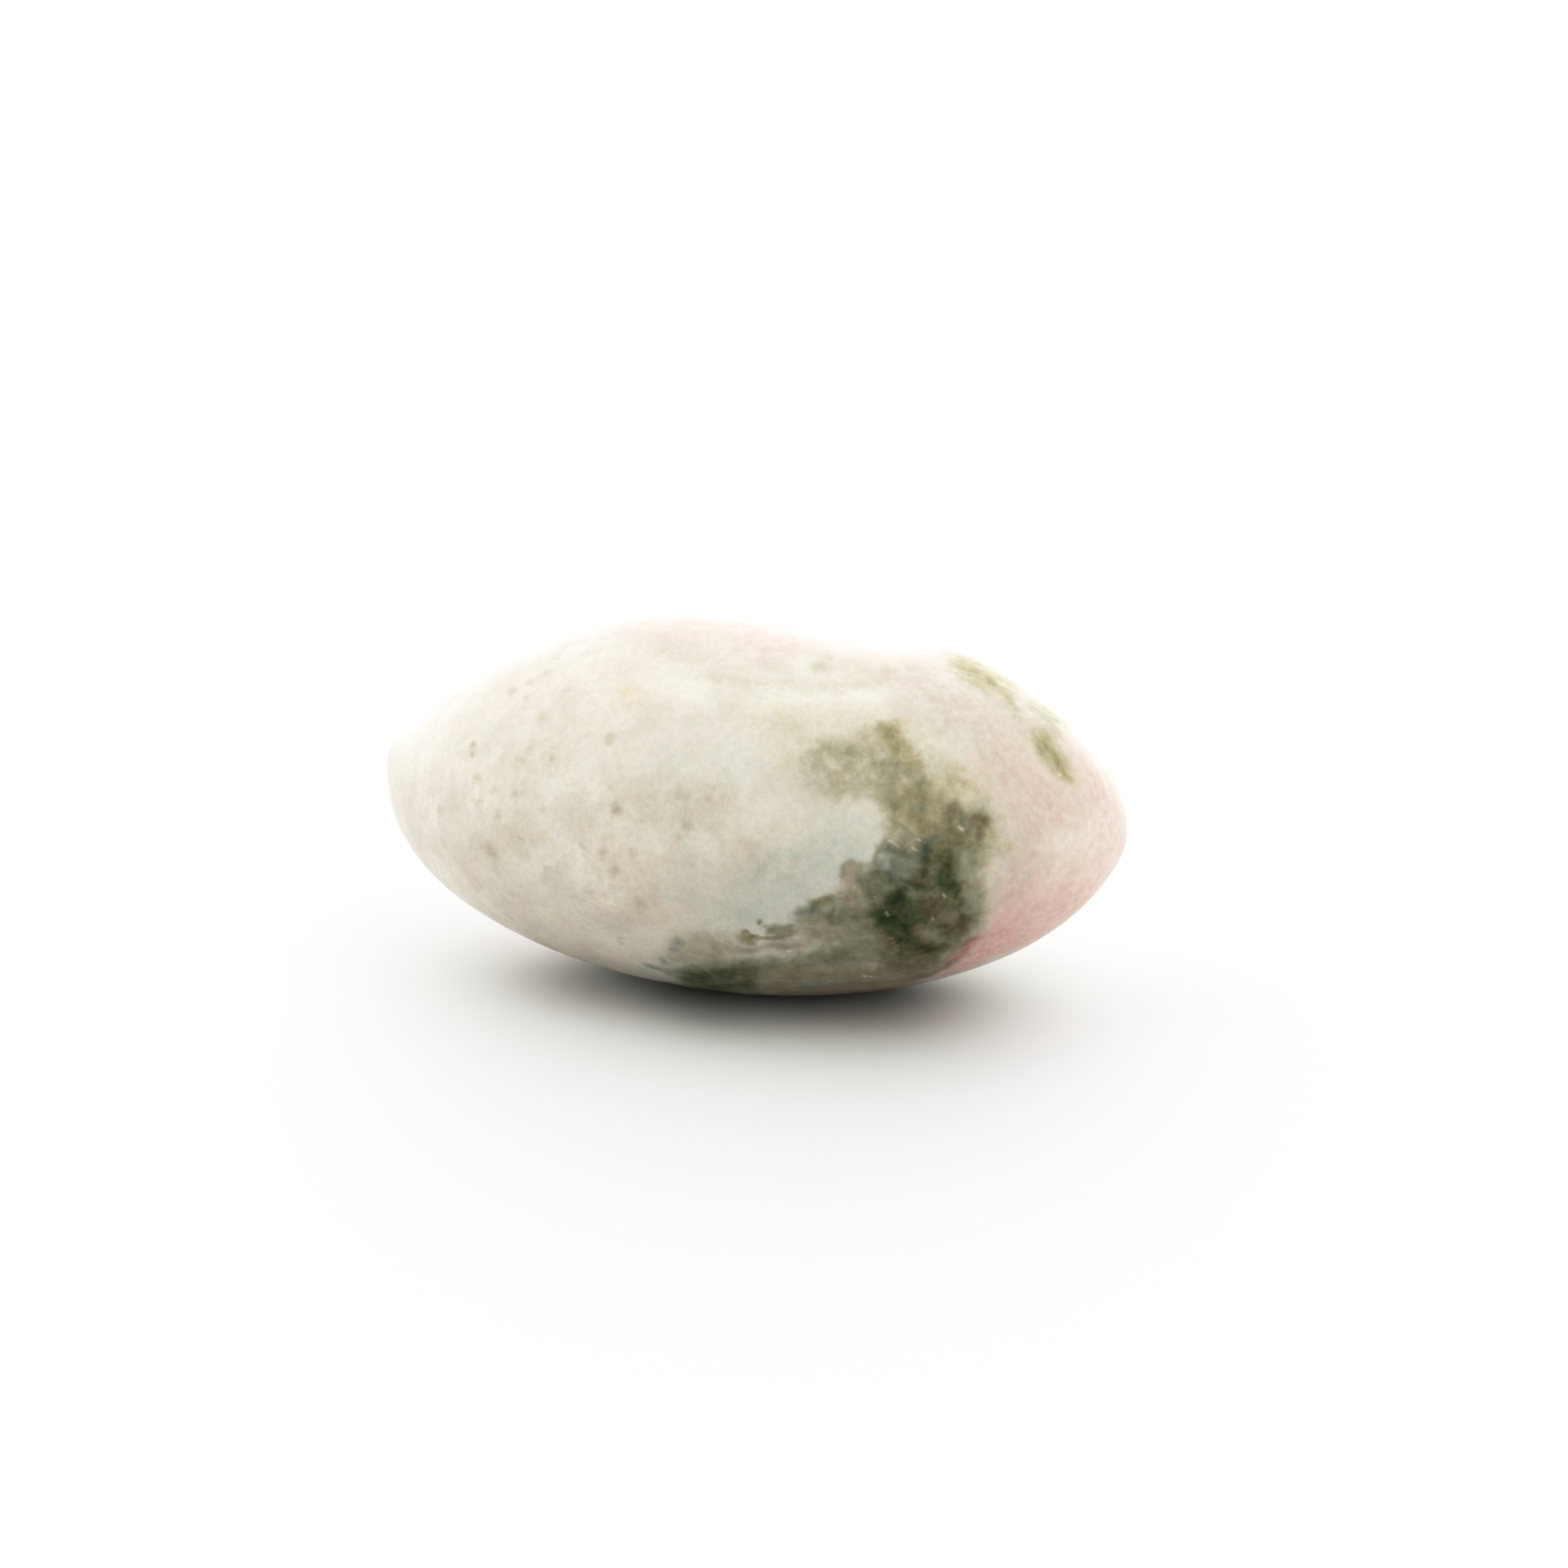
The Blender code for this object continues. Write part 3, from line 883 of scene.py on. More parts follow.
STROKES: Mapping[Mark, tuple[Stroke, ...]] = {
    Mark.DUSK: (
        Stroke(0.65, 2.8, seen=((1150, 850), (1230, 900), (1290, 960))),
        Stroke(0.65, 1.7, seen=((1225, 960), (1260, 1010), (1250, 1080))),
        Stroke(0.45, 1.8, seen=((1180, 870), (1200, 930), (1225, 960))),
        Stroke(0.50, 2.0, seen=((1300, 880), (1345, 950), (1365, 1010))),
        Stroke(0.40, 1.6, seen=((1240, 1090), (1215, 1130))),
        Stroke(0.40, 3.4, hidden=((20, 20), (5, 40), (340, 40))),
        Stroke(0.80, 5.0, hidden=((160, 40), (185, 55), (300, 75), (20, 60))),
    ),
    Mark.BLUSH: (
        Stroke(0.36, 2.3, seen=((760, 770), (850, 770), (920, 780))),
        Stroke(0.40, 2.0, seen=((980, 782), (1060, 790), (1120, 800))),
        Stroke(0.45, 3.0, seen=((1330, 940), (1385, 1030), (1340, 1100))),
        Stroke(0.25, 3.2, seen=((1230, 960), (1280, 1060))),
        Stroke(0.35, 2.2, seen=((1320, 1120), (1240, 1140))),
        Stroke(0.50, 1.8, seen=((1260, 1160), (1205, 1175), (1150, 1200))),
        Stroke(0.60, 1.0, seen=((1222, 1150), (1205, 1178), (1170, 1200))),
        Stroke(0.65, 1.2, seen=((1000, 1230), (1060, 1226), (1130, 1215))),
        Stroke(0.60, 3.6, hidden=((0, 25), (350, 50), (330, 40))),
        Stroke(0.55, 3.2, hidden=((110, 34), (80, 48), (45, 62))),
        Stroke(0.55, 3.0, hidden=((200, 30), (222, 46))),
        Stroke(0.65, 2.4, hidden=((310, 30), (300, 50))),
        Stroke(0.60, 2.0, hidden=((300, -20), (300, 5))),
    ),
    Mark.MILK: (
        Stroke(0.85, 1.3, seen=((1045, 1000), (1062, 1035))),
        Stroke(0.75, 1.0, seen=((1060, 1050), (1010, 1080), (930, 1120))),
        Stroke(0.65, 0.6, seen=((925, 1130), (925, 1146))),
        Stroke(0.45, 1.6, seen=((820, 930), (880, 1060), (850, 1110))),
        Stroke(0.50, 1.8, seen=((900, 930), (960, 960), (1000, 990))),
        Stroke(0.50, 0.9, seen=((1190, 915), (1170, 940))),
        Stroke(0.30, 0.8, seen=((1230, 1060), (1215, 1090))),
        Stroke(0.30, 1.8, seen=((560, 960), (560, 1040))),
        Stroke(0.60, 2.0, hidden=((90, 45), (60, 65))),
        Stroke(0.60, 1.5, hidden=((200, 45), (215, 50))),
    ),
    Mark.TAN: (
        Stroke(0.38, 1.4, seen=((800, 990), (870, 985))),
        Stroke(0.30, 1.2, seen=((750, 1060), (790, 1110))),
        Stroke(0.38, 1.0, seen=((915, 1052), (955, 1065))),
        Stroke(0.25, 1.5, seen=((610, 985), (660, 930))),
        Stroke(0.25, 0.9, seen=((606, 1047), (640, 1035))),
        Stroke(0.35, 0.8, seen=((1215, 985), (1235, 1040))),
        Stroke(0.25, 0.7, seen=((1183, 884), (1200, 902))),
        Stroke(0.30, 0.9, seen=((1218, 940), (1267, 906))),
        # painted shade: darker tan along the flute's trough, where the hollow turns from the light
        Stroke(0.40, 0.45, seen=((860, 834), (940, 843), (1020, 849), (1100, 838))),
        Stroke(0.75, 2.6, hidden=((170, 35), (150, 55), (120, 70))),
        Stroke(0.70, 1.8, hidden=((210, 60), (235, 50))),
    ),
    Mark.STAIN: (
        Stroke(0.45, 0.7, seen=((772, 852), (786, 860))),
        Stroke(0.35, 0.6, seen=((955, 880), (965, 890))),
        Stroke(0.70, 0.9, seen=((1185, 812), (1215, 832), (1250, 842))),
        Stroke(0.40, 1.2, hidden=((36, 40), (150, 45))),
    ),
}


@dataclass(frozen=True)
class Nick:
    """A tiny chip, its floor painted whiter as fresh broken mineral and as a painted glint, at one or two pixels
    of the photograph.
    """

    seen: tuple[Place, ...]
    reach: float = 0.09
    depth: float = 0.05


# each nick's floor is painted whiter: fresh broken mineral and a painted glint
NICKS = (
    Nick(((1096, 1035), (1101, 1037)), reach=0.05),
    Nick(((1103, 1039), (1107, 1043)), reach=0.04),
    Nick(((1125, 1044), (1129, 1047)), reach=0.06),
    Nick(((1183, 1019), (1186, 1022)), reach=0.09),
    Nick(((1163, 1102), (1165, 1106)), reach=0.06),
    Nick(((1092, 1124), (1094, 1128)), reach=0.06),
    Nick(((1149, 1131), (1150, 1133)), reach=0.06),
    Nick(((1064, 1202), (1068, 1204)), reach=0.07),
    Nick(((1072, 1203), (1075, 1204)), reach=0.06),
    Nick(((970, 1172), (976, 1171)), reach=0.06),
    Nick(((926, 1149), (930, 1151)), reach=0.06),
    Nick(((1305, 953), (1307, 955)), reach=0.07),
    Nick(((777, 999), (778, 1000)), reach=0.07, depth=0.03),
    Nick(((1132, 1034), (1134, 1035)), reach=0.06),
)


class Skin:
    """The finished skin mesh of the stone, with its marks and nicks."""

    nick_glint_attribute = "nick_fresh_and_glint"
    depth_attribute = "green_depth"
    pixels_to_mm = 27.0
    sway_size = 1.1 * MM
    sway_reach = 0.16 * MM

    def __init__(self, piece: bpy.types.Object, camera: PhotoCamera) -> None:
        """Keep the mesh object and the camera that the photograph's pixels belong to."""
        self.piece = piece
        self.camera = camera
        self.tree = self._search_tree()
        low, high = CAD_BOX
        self.middle = (low + high) / 2.0

    def _search_tree(self) -> BVHTree:
        """A tree for finding points of the skin."""
        shape = bmesh.new()
        shape.from_mesh(self.piece.data)
        found = BVHTree.FromBMesh(shape)
        shape.free()
        return found

    def seen_point(self, seen: Place) -> Vector:
        """The skin's point under a pixel, or the nearest to its ray past the outline."""
        start = self.camera.place()
        ray = self.camera.ray(seen)
        hit = self.tree.ray_cast(start, ray)[0]
        if hit is not None:
            return hit
        beside = start + ray * (self.middle - start).dot(ray)
        return self.tree.find_nearest(beside)[0]

    def hidden_point(self, hidden: Place) -> Vector:
        """The skin's point in a direction from the stone's middle."""
        return self.tree.ray_cast(self.middle, WornForm.facing(*hidden))[0]

    def points(self) -> np.ndarray:
        """All the skin's points, one row each."""
        mesh = self.piece.data
        flat = np.empty(len(mesh.vertices) * 3, np.float32)
        mesh.vertices.foreach_get("co", flat)
        return flat.reshape(-1, 3).astype(float)

    @staticmethod
    def away_from(line: list[Vector], points: np.ndarray) -> np.ndarray:
        """Distance of each point to a line through some places, in metres."""
        best = np.linalg.norm(points - np.array(line[0]), axis=1)
        for first, second in zip(line, line[1:]):
            start = np.array(first)
            along = np.array(second) - start
            share = np.clip((points - start) @ along / max(along @ along, 1e-12), 0.0, 1.0)
            best = np.minimum(best, np.linalg.norm(points - start - share[:, None] * along, axis=1))
        return best

    def refine(self, nicks: tuple[Nick, ...], around: float = 0.45 * MM, cuts: int = 3) -> None:
        """Divide the squares round each nick, so that its small form has points to carry it."""
        centres = [self.seen_point(place) for nick in nicks for place in nick.seen]
        shape = bmesh.new()
        shape.from_mesh(self.piece.data)
        near = [
            edge
            for edge in shape.edges
            if any((edge.verts[0].co - centre).length < around for centre in centres)
        ]
        bmesh.ops.subdivide_edges(shape, edges=near, cuts=cuts, use_grid_fill=True, smooth=1.0)
        bmesh.ops.triangulate(shape, faces=[face for face in shape.faces if len(face.verts) > 4])
        shape.to_mesh(self.piece.data)
        shape.free()
        for polygon in self.piece.data.polygons:
            polygon.use_smooth = True

    def chip(self, nicks: tuple[Nick, ...]) -> None:
        """Press the nicks into the skin and note where their floors are, which get painted whiter as fresh
        mineral and painted glint.
        """
        points = self.points()
        sunk = points.copy()
        bright = np.zeros(len(points))
        mesh = self.piece.data
        normals = self._normals()
        for nick in nicks:
            line = [self.seen_point(place) for place in nick.seen]
            away = self.away_from(line, points)
            close = np.nonzero(away < 3.0 * nick.reach * MM)[0]
            for index in close:
                rough = 1.0 + 0.5 * noise.noise(Vector(points[index]) / (0.12 * MM))
                share = math.exp(-((away[index] / (nick.reach * MM * rough)) ** 4))
                sunk[index] -= normals[index] * nick.depth * MM * share
                bright[index] = max(bright[index], share)
        mesh.vertices.foreach_set("co", sunk.astype(np.float32).ravel())
        mesh.update()
        self._store(self.nick_glint_attribute, bright)

    def lay(self, strokes: Mapping[Mark, tuple[Stroke, ...]]) -> None:
        """Write how full each soft mark is onto the skin's points.

        Args:
            strokes: the strokes of each mark.
        """
        points = self.points()
        for mark, lines in strokes.items():
            bare = np.ones(len(points))
            for stroke in lines:
                away = self.away_from(self._line(stroke.seen, stroke.hidden), points) / MM
                bare *= 1.0 - stroke.strength * np.exp(-((away / stroke.reach) ** 2))
            self._store(mark.value, 1.0 - bare)

    def veil(self, veils: tuple[Veil, ...]) -> None:
        """Lay the vein's clouds over one another and write its depth and hues onto the points.

        Args:
            veils: the clouds, from the lowest up.
        """
        points = self.points()
        swayed = points + self._sway(points, self.sway_size, self.sway_reach)
        pixels = self.camera.pixels(swayed)
        towards = np.array(self.camera.place()) - points
        towards /= np.linalg.norm(towards, axis=1)[:, None]
        facing = np.clip((np.sum(self._normals() * towards, axis=1) + 0.35) / 0.2, 0.0, 1.0)
        layers = {hue.value: np.zeros(len(points)) for hue in Hue if hue is not Hue.MOSS}
        depth = np.zeros(len(points))
        for cloud in veils:
            if cloud.outline:
                inside = self._inside(cloud.outline, pixels) / self.pixels_to_mm
                cover = self._ease(inside / cloud.blur + 0.5) * facing
            else:
                away = self.away_from(self._line(cloud.line, cloud.hidden), swayed) / MM
                cover = self._ease((cloud.reach - away) / cloud.blur + 0.5)
            depth += (cloud.depth - depth) * cover
            for hue, share in layers.items():
                share += (float(hue == cloud.hue.value) - share) * cover
        self._store(self.depth_attribute, depth)
        for hue, share in layers.items():
            self._store(hue, share)

    @staticmethod
    def _ease(amount: np.ndarray) -> np.ndarray:
        """A smooth step from 0 at 0 to 1 at 1."""
        held = np.clip(amount, 0.0, 1.0)
        return held * held * (3.0 - 2.0 * held)

    @staticmethod
    def _sway(points: np.ndarray, size: float, reach: float) -> np.ndarray:
        """Small irregular shifts of the points, which make a cloud's border uneven."""
        noise.seed_set(7)
        return np.array([noise.turbulence_vector(Vector(point) / size, 3, False) for point in points]) * reach

    @staticmethod
    def _inside(outline: tuple[Place, ...], pixels: np.ndarray) -> np.ndarray:
        """How far each pixel lies inside an outline, negative outside it, in pixels."""
        corners = np.array(outline, float)
        nearest = np.full(len(pixels), np.inf)
        within = np.zeros(len(pixels), bool)
        for start, end in zip(corners, np.roll(corners, -1, axis=0)):
            edge = end - start
            share = np.clip((pixels - start) @ edge / (edge @ edge), 0.0, 1.0)
            nearest = np.minimum(nearest, np.linalg.norm(pixels - start - share[:, None] * edge, axis=1))
            if edge[1] != 0.0:
                spans = (pixels[:, 1] < start[1]) != (pixels[:, 1] < end[1])
                reached = start[0] + (pixels[:, 1] - start[1]) / edge[1] * edge[0]
                within ^= spans & (pixels[:, 0] < reached)
        return np.where(within, nearest, -nearest)

    def _line(self, seen: tuple[Place, ...], hidden: tuple[Place, ...]) -> list[Vector]:
        """The skin's points of a line's places."""
        return [self.seen_point(place) for place in seen] + [self.hidden_point(place) for place in hidden]

    def _normals(self) -> np.ndarray:
        """The skin's outward directions, one row for each point."""
        mesh = self.piece.data
        flat = np.empty(len(mesh.vertices) * 3, np.float32)
        mesh.vertices.foreach_get("normal", flat)
        return flat.reshape(-1, 3).astype(float)

    def _store(self, name: str, values: np.ndarray) -> None:
        """Keep one number for each point under a name."""
        attribute = self.piece.data.attributes.new(name, "FLOAT", "POINT")
        attribute.data.foreach_set("value", values.astype(np.float32))


@dataclass(frozen=True)
class Fleck:
    """A small brownish spot inside the pale stone, at a pixel of the photograph."""

    seen: Place
    reach: float
    depth: float = 0.5


FLECKS = (
    Fleck((582, 919), 0.17, 0.85),
    Fleck((582, 929), 0.15, 0.85),
    Fleck((652, 924), 0.24, 0.5),
    Fleck((642, 938), 0.22, 0.45),
    Fleck((680, 935), 0.20, 0.55),
    Fleck((633, 979), 0.17, 0.65),
    Fleck((590, 989), 0.15, 0.6),
    Fleck((614, 1004), 0.2, 0.45),
    Fleck((641, 1034), 0.16, 0.55),
    Fleck((605, 1048), 0.36, 0.6),
    Fleck((669, 998), 0.18, 0.45),
    Fleck((760, 996), 0.28, 0.8),
    Fleck((753, 971), 0.16, 0.4),
    Fleck((872, 984), 0.2, 0.55),
    Fleck((877, 971), 0.16, 0.4),
    Fleck((846, 1018), 0.26, 0.7),
    Fleck((838, 976), 0.34, 0.45),
    Fleck((835, 1031), 0.2, 0.4),
    Fleck((742, 1049), 0.2, 0.5),
    Fleck((716, 1042), 0.18, 0.4),
    Fleck((758, 1070), 0.24, 0.5),
    Fleck((672, 1070), 0.2, 0.35),
    Fleck((853, 1066), 0.22, 0.4),
    Fleck((788, 1113), 0.28, 0.5),
    Fleck((669, 884), 0.3, 0.4),
    Fleck((674, 829), 0.25, 0.35),
    Fleck((699, 849), 0.25, 0.35),
    Fleck((1007, 820), 0.34, 0.6),
    Fleck((1093, 826), 0.3, 0.4),
    Fleck((1152, 906), 0.24, 0.35),
    Fleck((1199, 902), 0.24, 0.4),
    Fleck((1224, 936), 0.3, 0.45),
    Fleck((1222, 980), 0.3, 0.45),
    Fleck((1160, 865), 0.3, 0.3),
    Fleck((927, 1055), 0.3, 0.45),
    Fleck((947, 1062), 0.3, 0.45),
)


@dataclass(frozen=True)
class Tone:
    """How a soft mark looks.

    Args:
        mark: the mark.
        light: its colour in its light grains.
        dark: its colour in its dark grains.
        fullness: how far it covers what lies under it.
        sway: how far noise breaks it up.
    """

    mark: Mark
    light: Colour
    dark: Colour
    fullness: float
    sway: float


PALE_TONES = (
    Tone(Mark.DUSK, (0.60, 0.55, 0.50), (0.52, 0.47, 0.42), fullness=0.85, sway=0.6),
    Tone(Mark.BLUSH, (0.72, 0.53, 0.505), (0.62, 0.41, 0.385), fullness=0.95, sway=0.4),
    Tone(Mark.MILK, (0.655, 0.66, 0.61), (0.60, 0.61, 0.56), fullness=0.8, sway=0.8),
    # the tan tone also gives the painted shade along the flute's trough
    Tone(Mark.TAN, (0.60, 0.56, 0.47), (0.52, 0.47, 0.37), fullness=0.75, sway=1.2),
    Tone(Mark.STAIN, (0.68, 0.64, 0.44), (0.61, 0.56, 0.35), fullness=0.6, sway=0.9),
)


@dataclass(frozen=True)
class VeinScale:
    """Colours of the green vein from its faint haze to its darkest depth.

    Args:
        haze: at a depth of 0.25.
        cloud: at a depth of 0.45.
        body: at a depth of 0.62.
        deep: at a depth of 0.8.
        core: at a depth of 1.
    """

    haze: Colour
    cloud: Colour
    body: Colour
    deep: Colour
    core: Colour

    def colour(self, graph: Graph, depth: Wire) -> Wire:
        """The vein's colour at a depth."""
        tones = zip((0.25, 0.45, 0.62, 0.8, 1.0), (self.haze, self.cloud, self.body, self.deep, self.core))
        stops = [(place, opaque(tone)) for place, tone in tones]
        return graph.wire("ShaderNodeValToRGB", {"stops": stops}, {0: depth}, "Color")


MOSS = VeinScale(
    (0.575, 0.56, 0.485), (0.435, 0.42, 0.325), (0.295, 0.295, 0.205), (0.14, 0.157, 0.072), (0.037, 0.066, 0.01)
)
OLIVE = VeinScale(
    (0.60, 0.57, 0.475), (0.455, 0.425, 0.31), (0.32, 0.30, 0.19), (0.185, 0.178, 0.085), (0.06, 0.065, 0.015)
)
UMBER = VeinScale(
    (0.575, 0.54, 0.445), (0.43, 0.395, 0.29), (0.315, 0.285, 0.195), (0.195, 0.17, 0.10), (0.08, 0.07, 0.03)
)
ROSE = VeinScale(
    (0.60, 0.555, 0.49), (0.455, 0.41, 0.345), (0.33, 0.29, 0.235), (0.20, 0.17, 0.125), (0.09, 0.07, 0.05)
)
SLATE = VeinScale(
    (0.585, 0.595, 0.55), (0.44, 0.45, 0.39), (0.30, 0.315, 0.25), (0.165, 0.178, 0.12), (0.06, 0.073, 0.04)
)
RUST = VeinScale(
    (0.67, 0.49, 0.44), (0.51, 0.34, 0.29), (0.37, 0.23, 0.175), (0.22, 0.13, 0.08), (0.10, 0.055, 0.03)
)


@dataclass(frozen=True)
class TugtupiteFinish:
    """The stone's own colours and polish, as a solid pattern with the skin's marks in it."""

    cream: Colour = (0.715, 0.68, 0.61)
    chalk: Colour = (0.77, 0.745, 0.68)
    ash: Colour = (0.58, 0.55, 0.49)
    rosy: Colour = (0.715, 0.64, 0.585)
    greenish: Colour = (0.66, 0.67, 0.60)
    tan: Colour = (0.46, 0.41, 0.32)
    # nick floors: fresh broken mineral and painted glint
    fresh_and_glint: Colour = (0.86, 0.85, 0.80)
    soot: Colour = (0.25, 0.24, 0.20)
    seed_shift: Colour = (3.1, 7.7, 1.9)
    speckle: float = 0.075
    subsurface: float = 0.55
    subsurface_reach: float = 0.9 * MM

    def open(self) -> bpy.types.Material:
        """Make the stone's material, still without nodes."""
        material = bpy.data.materials.new("tumbled_tugtupite")
        material.use_nodes = True
        material.node_tree.nodes.clear()
        return material

    def fill(self, material: bpy.types.Material, skin_points: Callable[[Place], Vector]) -> None:
        """Add the material's nodes.

        Args:
            material: the material that open() made.
            skin_points: finds the skin's point under a pixel, for the flecks.
        """
        graph = Graph(material.node_tree)
        place = graph.wire("ShaderNodeTexCoord", None, None, "Object").scaled(1.0 / MM)
        place = place + self.seed_shift
        coarse = self._three_clouds(graph, place, 1.1, 3.0, 0.5)
        fine = self._three_clouds(graph, place, 2.8, 3.0, 0.3)
        grain = self._cloud(graph, place, 9.0, 2.0)
        colour = self._pale_stone(graph, place, fine)
        colour = self._flecks(graph, place, colour, skin_points)
        for order, tone in enumerate(PALE_TONES):
            sway = (coarse[order % 3] - 0.5) * 1.6 + (fine[(order + 1) % 3] - 0.5) * 0.8
            density = (self._attribute(graph, tone.mark.value) * (1.0 + sway * tone.sway)).smooth(0.0, 1.0)
            body = graph.mix(fine[order % 3].smooth(0.25, 0.75), tone.light, tone.dark)
            colour = graph.mix(density * tone.fullness, colour, body)
        depth = self._depth(graph, coarse, fine, grain)
        colour = graph.mix(depth.smooth(0.0, 0.50), colour, self._vein(graph, depth, coarse, fine))
        # nicks: whiter floors, fresh broken mineral and painted glint
        nick = self._attribute(graph, Skin.nick_glint_attribute)
        colour = graph.mix(nick * 0.4, colour, self.fresh_and_glint)
        colour = graph.mix(grain.smooth(0.25, 0.75) * 0.06, colour, self.soot)
        colour = colour * self._speckle(graph, place)
        bump = graph.wire(
            "ShaderNodeBump", None, {"Strength": 0.2, "Distance": 0.02 * MM, "Height": grain}
        )
        sockets = {
            "Base Color": colour,
            "Roughness": 0.28 + 0.06 * depth + 0.12 * grain + 0.25 * nick,
            "IOR": 1.5,
            "Specular IOR Level": 0.35,
            "Subsurface Weight": self.subsurface,
            "Subsurface Radius": (1.0, 0.72, 0.6),
            "Subsurface Scale": self.subsurface_reach,
            "Coat Weight": 0.08,
            "Coat Roughness": 0.12,
            "Normal": bump,
        }
        shader = graph.wire("ShaderNodeBsdfPrincipled", None, sockets)
        graph.add("ShaderNodeOutputMaterial", None, {"Surface": shader})

    @staticmethod
    def _attribute(graph: Graph, name: str) -> Wire:
        """The number that the skin keeps under a name."""
        return graph.wire("ShaderNodeAttribute", {"attribute_name": name}, None, "Fac")

    @staticmethod
    def _cloud(graph: Graph, place: Wire, fineness: float, detail: float = 4.0, bend: float = 0.0) -> Wire:
        """Cloudy noise from 0 to 1, with about that many lumps to a millimetre."""
        sockets = {"Vector": place, "Scale": fineness, "Detail": detail, "Roughness": 0.5, "Distortion": bend}
        return graph.wire("ShaderNodeTexNoise", {"noise_dimensions": "3D"}, sockets)

    @staticmethod
    def _three_clouds(
        graph: Graph, place: Wire, fineness: float, detail: float, bend: float
    ) -> tuple[Wire, Wire, Wire]:
        """Three unlike noises with the same size of lump."""
        sockets = {"Vector": place, "Scale": fineness, "Detail": detail, "Roughness": 0.5, "Distortion": bend}
        return graph.wire("ShaderNodeTexNoise", {"noise_dimensions": "3D"}, sockets, "Color").parts()

    def _pale_stone(self, graph: Graph, place: Wire, fine: tuple[Wire, Wire, Wire]) -> Wire:
        """The pale body: cream, chalk white, rosy, greenish and ash grey clouds of three sizes."""
        broad = self._three_clouds(graph, place, 0.17, 3.0, 0.5)
        middle = self._three_clouds(graph, place, 0.6, 4.0, 0.5)
        colour = graph.mix(broad[0].smooth(0.38, 0.64), self.cream, self.chalk)
        colour = graph.mix(middle[0].smooth(0.40, 0.66) * 0.40, colour, self.rosy)
        colour = graph.mix(broad[1].smooth(0.45, 0.62) * 0.3, colour, self.greenish)
        colour = graph.mix(middle[1].smooth(0.42, 0.66) * 0.38, colour, self.ash)
        colour = graph.mix(fine[0].smooth(0.42, 0.66) * 0.26, colour, self.ash)
        return graph.mix(fine[1].smooth(0.42, 0.66) * 0.22, colour, self.rosy)

    def _depth(
        self, graph: Graph, coarse: tuple[Wire, Wire, Wire], fine: tuple[Wire, Wire, Wire], grain: Wire
    ) -> Wire:
        """Depth of the vein's green at each place, broken up by noise of three sizes."""
        sway = (coarse[0] - 0.5) * 0.75 + (fine[0] - 0.5) * 0.42 + (grain - 0.5) * 0.1
        return self._attribute(graph, Skin.depth_attribute) * (1.0 + sway)

    def _vein(
        self, graph: Graph, depth: Wire, coarse: tuple[Wire, Wire, Wire], fine: tuple[Wire, Wire, Wire]
    ) -> Wire:
        """Colour of the vein: moss green, turning to slate, rose, umber, olive and rust in places."""
        colour = MOSS.colour(graph, depth)
        kinds = ((Hue.SLATE, SLATE), (Hue.ROSE, ROSE), (Hue.UMBER, UMBER), (Hue.OLIVE, OLIVE), (Hue.RUST, RUST))
        for order, (hue, scale) in enumerate(kinds):
            sway = (coarse[(order + 1) % 3] - 0.5) * 0.9 + (fine[(order + 2) % 3] - 0.5) * 0.6
            share = (self._attribute(graph, hue.value) + sway).smooth(0.05, 0.95)
            colour = graph.mix(share, colour, scale.colour(graph, depth))
        return colour

    def _speckle(self, graph: Graph, place: Wire) -> Wire:
        """Faint shifts of red, green and blue in the finest grains, as factors round 1."""
        sockets = {"Vector": place, "Scale": 5.5, "Detail": 3.0, "Roughness": 0.6}
        cloud = graph.wire("ShaderNodeTexNoise", {"noise_dimensions": "3D"}, sockets, "Color")
        return cloud.scaled(2.0 * self.speckle) + (1.0 - self.speckle,) * 3

    def _flecks(
        self, graph: Graph, place: Wire, colour: Wire, skin_points: Callable[[Place], Vector]
    ) -> Wire:
        """Small brownish spots: the ones that the photograph shows, and scattered faint ones."""
        shake = graph.wire(
            "ShaderNodeTexNoise", {"noise_dimensions": "3D"}, {"Vector": place, "Scale": 2.6, "Detail": 3.0}, 1
        )
        shaken = place + (shake - 0.5) * 0.55
        total: Any = 0.0
        for fleck in FLECKS:
            point = skin_points(fleck.seen) / MM + Vector(self.seed_shift)
            total = (shaken.distance(point).bell(fleck.reach) * fleck.depth).maximum(total)
        cells = graph.wire(
            "ShaderNodeTexVoronoi", {"feature": "F1"}, {"Vector": shaken, "Scale": 0.62}, "Distance"
        )
        scattered = (1.0 - cells.smooth(0.10, 0.26)) * self._cloud(graph, place, 0.3).smooth(0.45, 0.65)
        colour = graph.mix(scattered * 0.35, colour, self.tan)
        return graph.mix(total * 0.8, colour, self.tan)


@dataclass(frozen=True)
class Glow:
    """A broad bright part of the surroundings.

    Args:
        turn: its direction in degrees, from 0 at the right through 90 behind the stone.
        rise: its height in degrees.
        strength: how much brighter than the rest it is.
    """

    turn: float
    rise: float
    strength: float

    def direction(self) -> Vector:
        """Where it stands."""
        turned = math.radians(self.turn)
        raised = math.radians(self.rise)
        level = math.cos(raised)
        return Vector((math.cos(turned) * level, math.sin(turned) * level, math.sin(raised)))


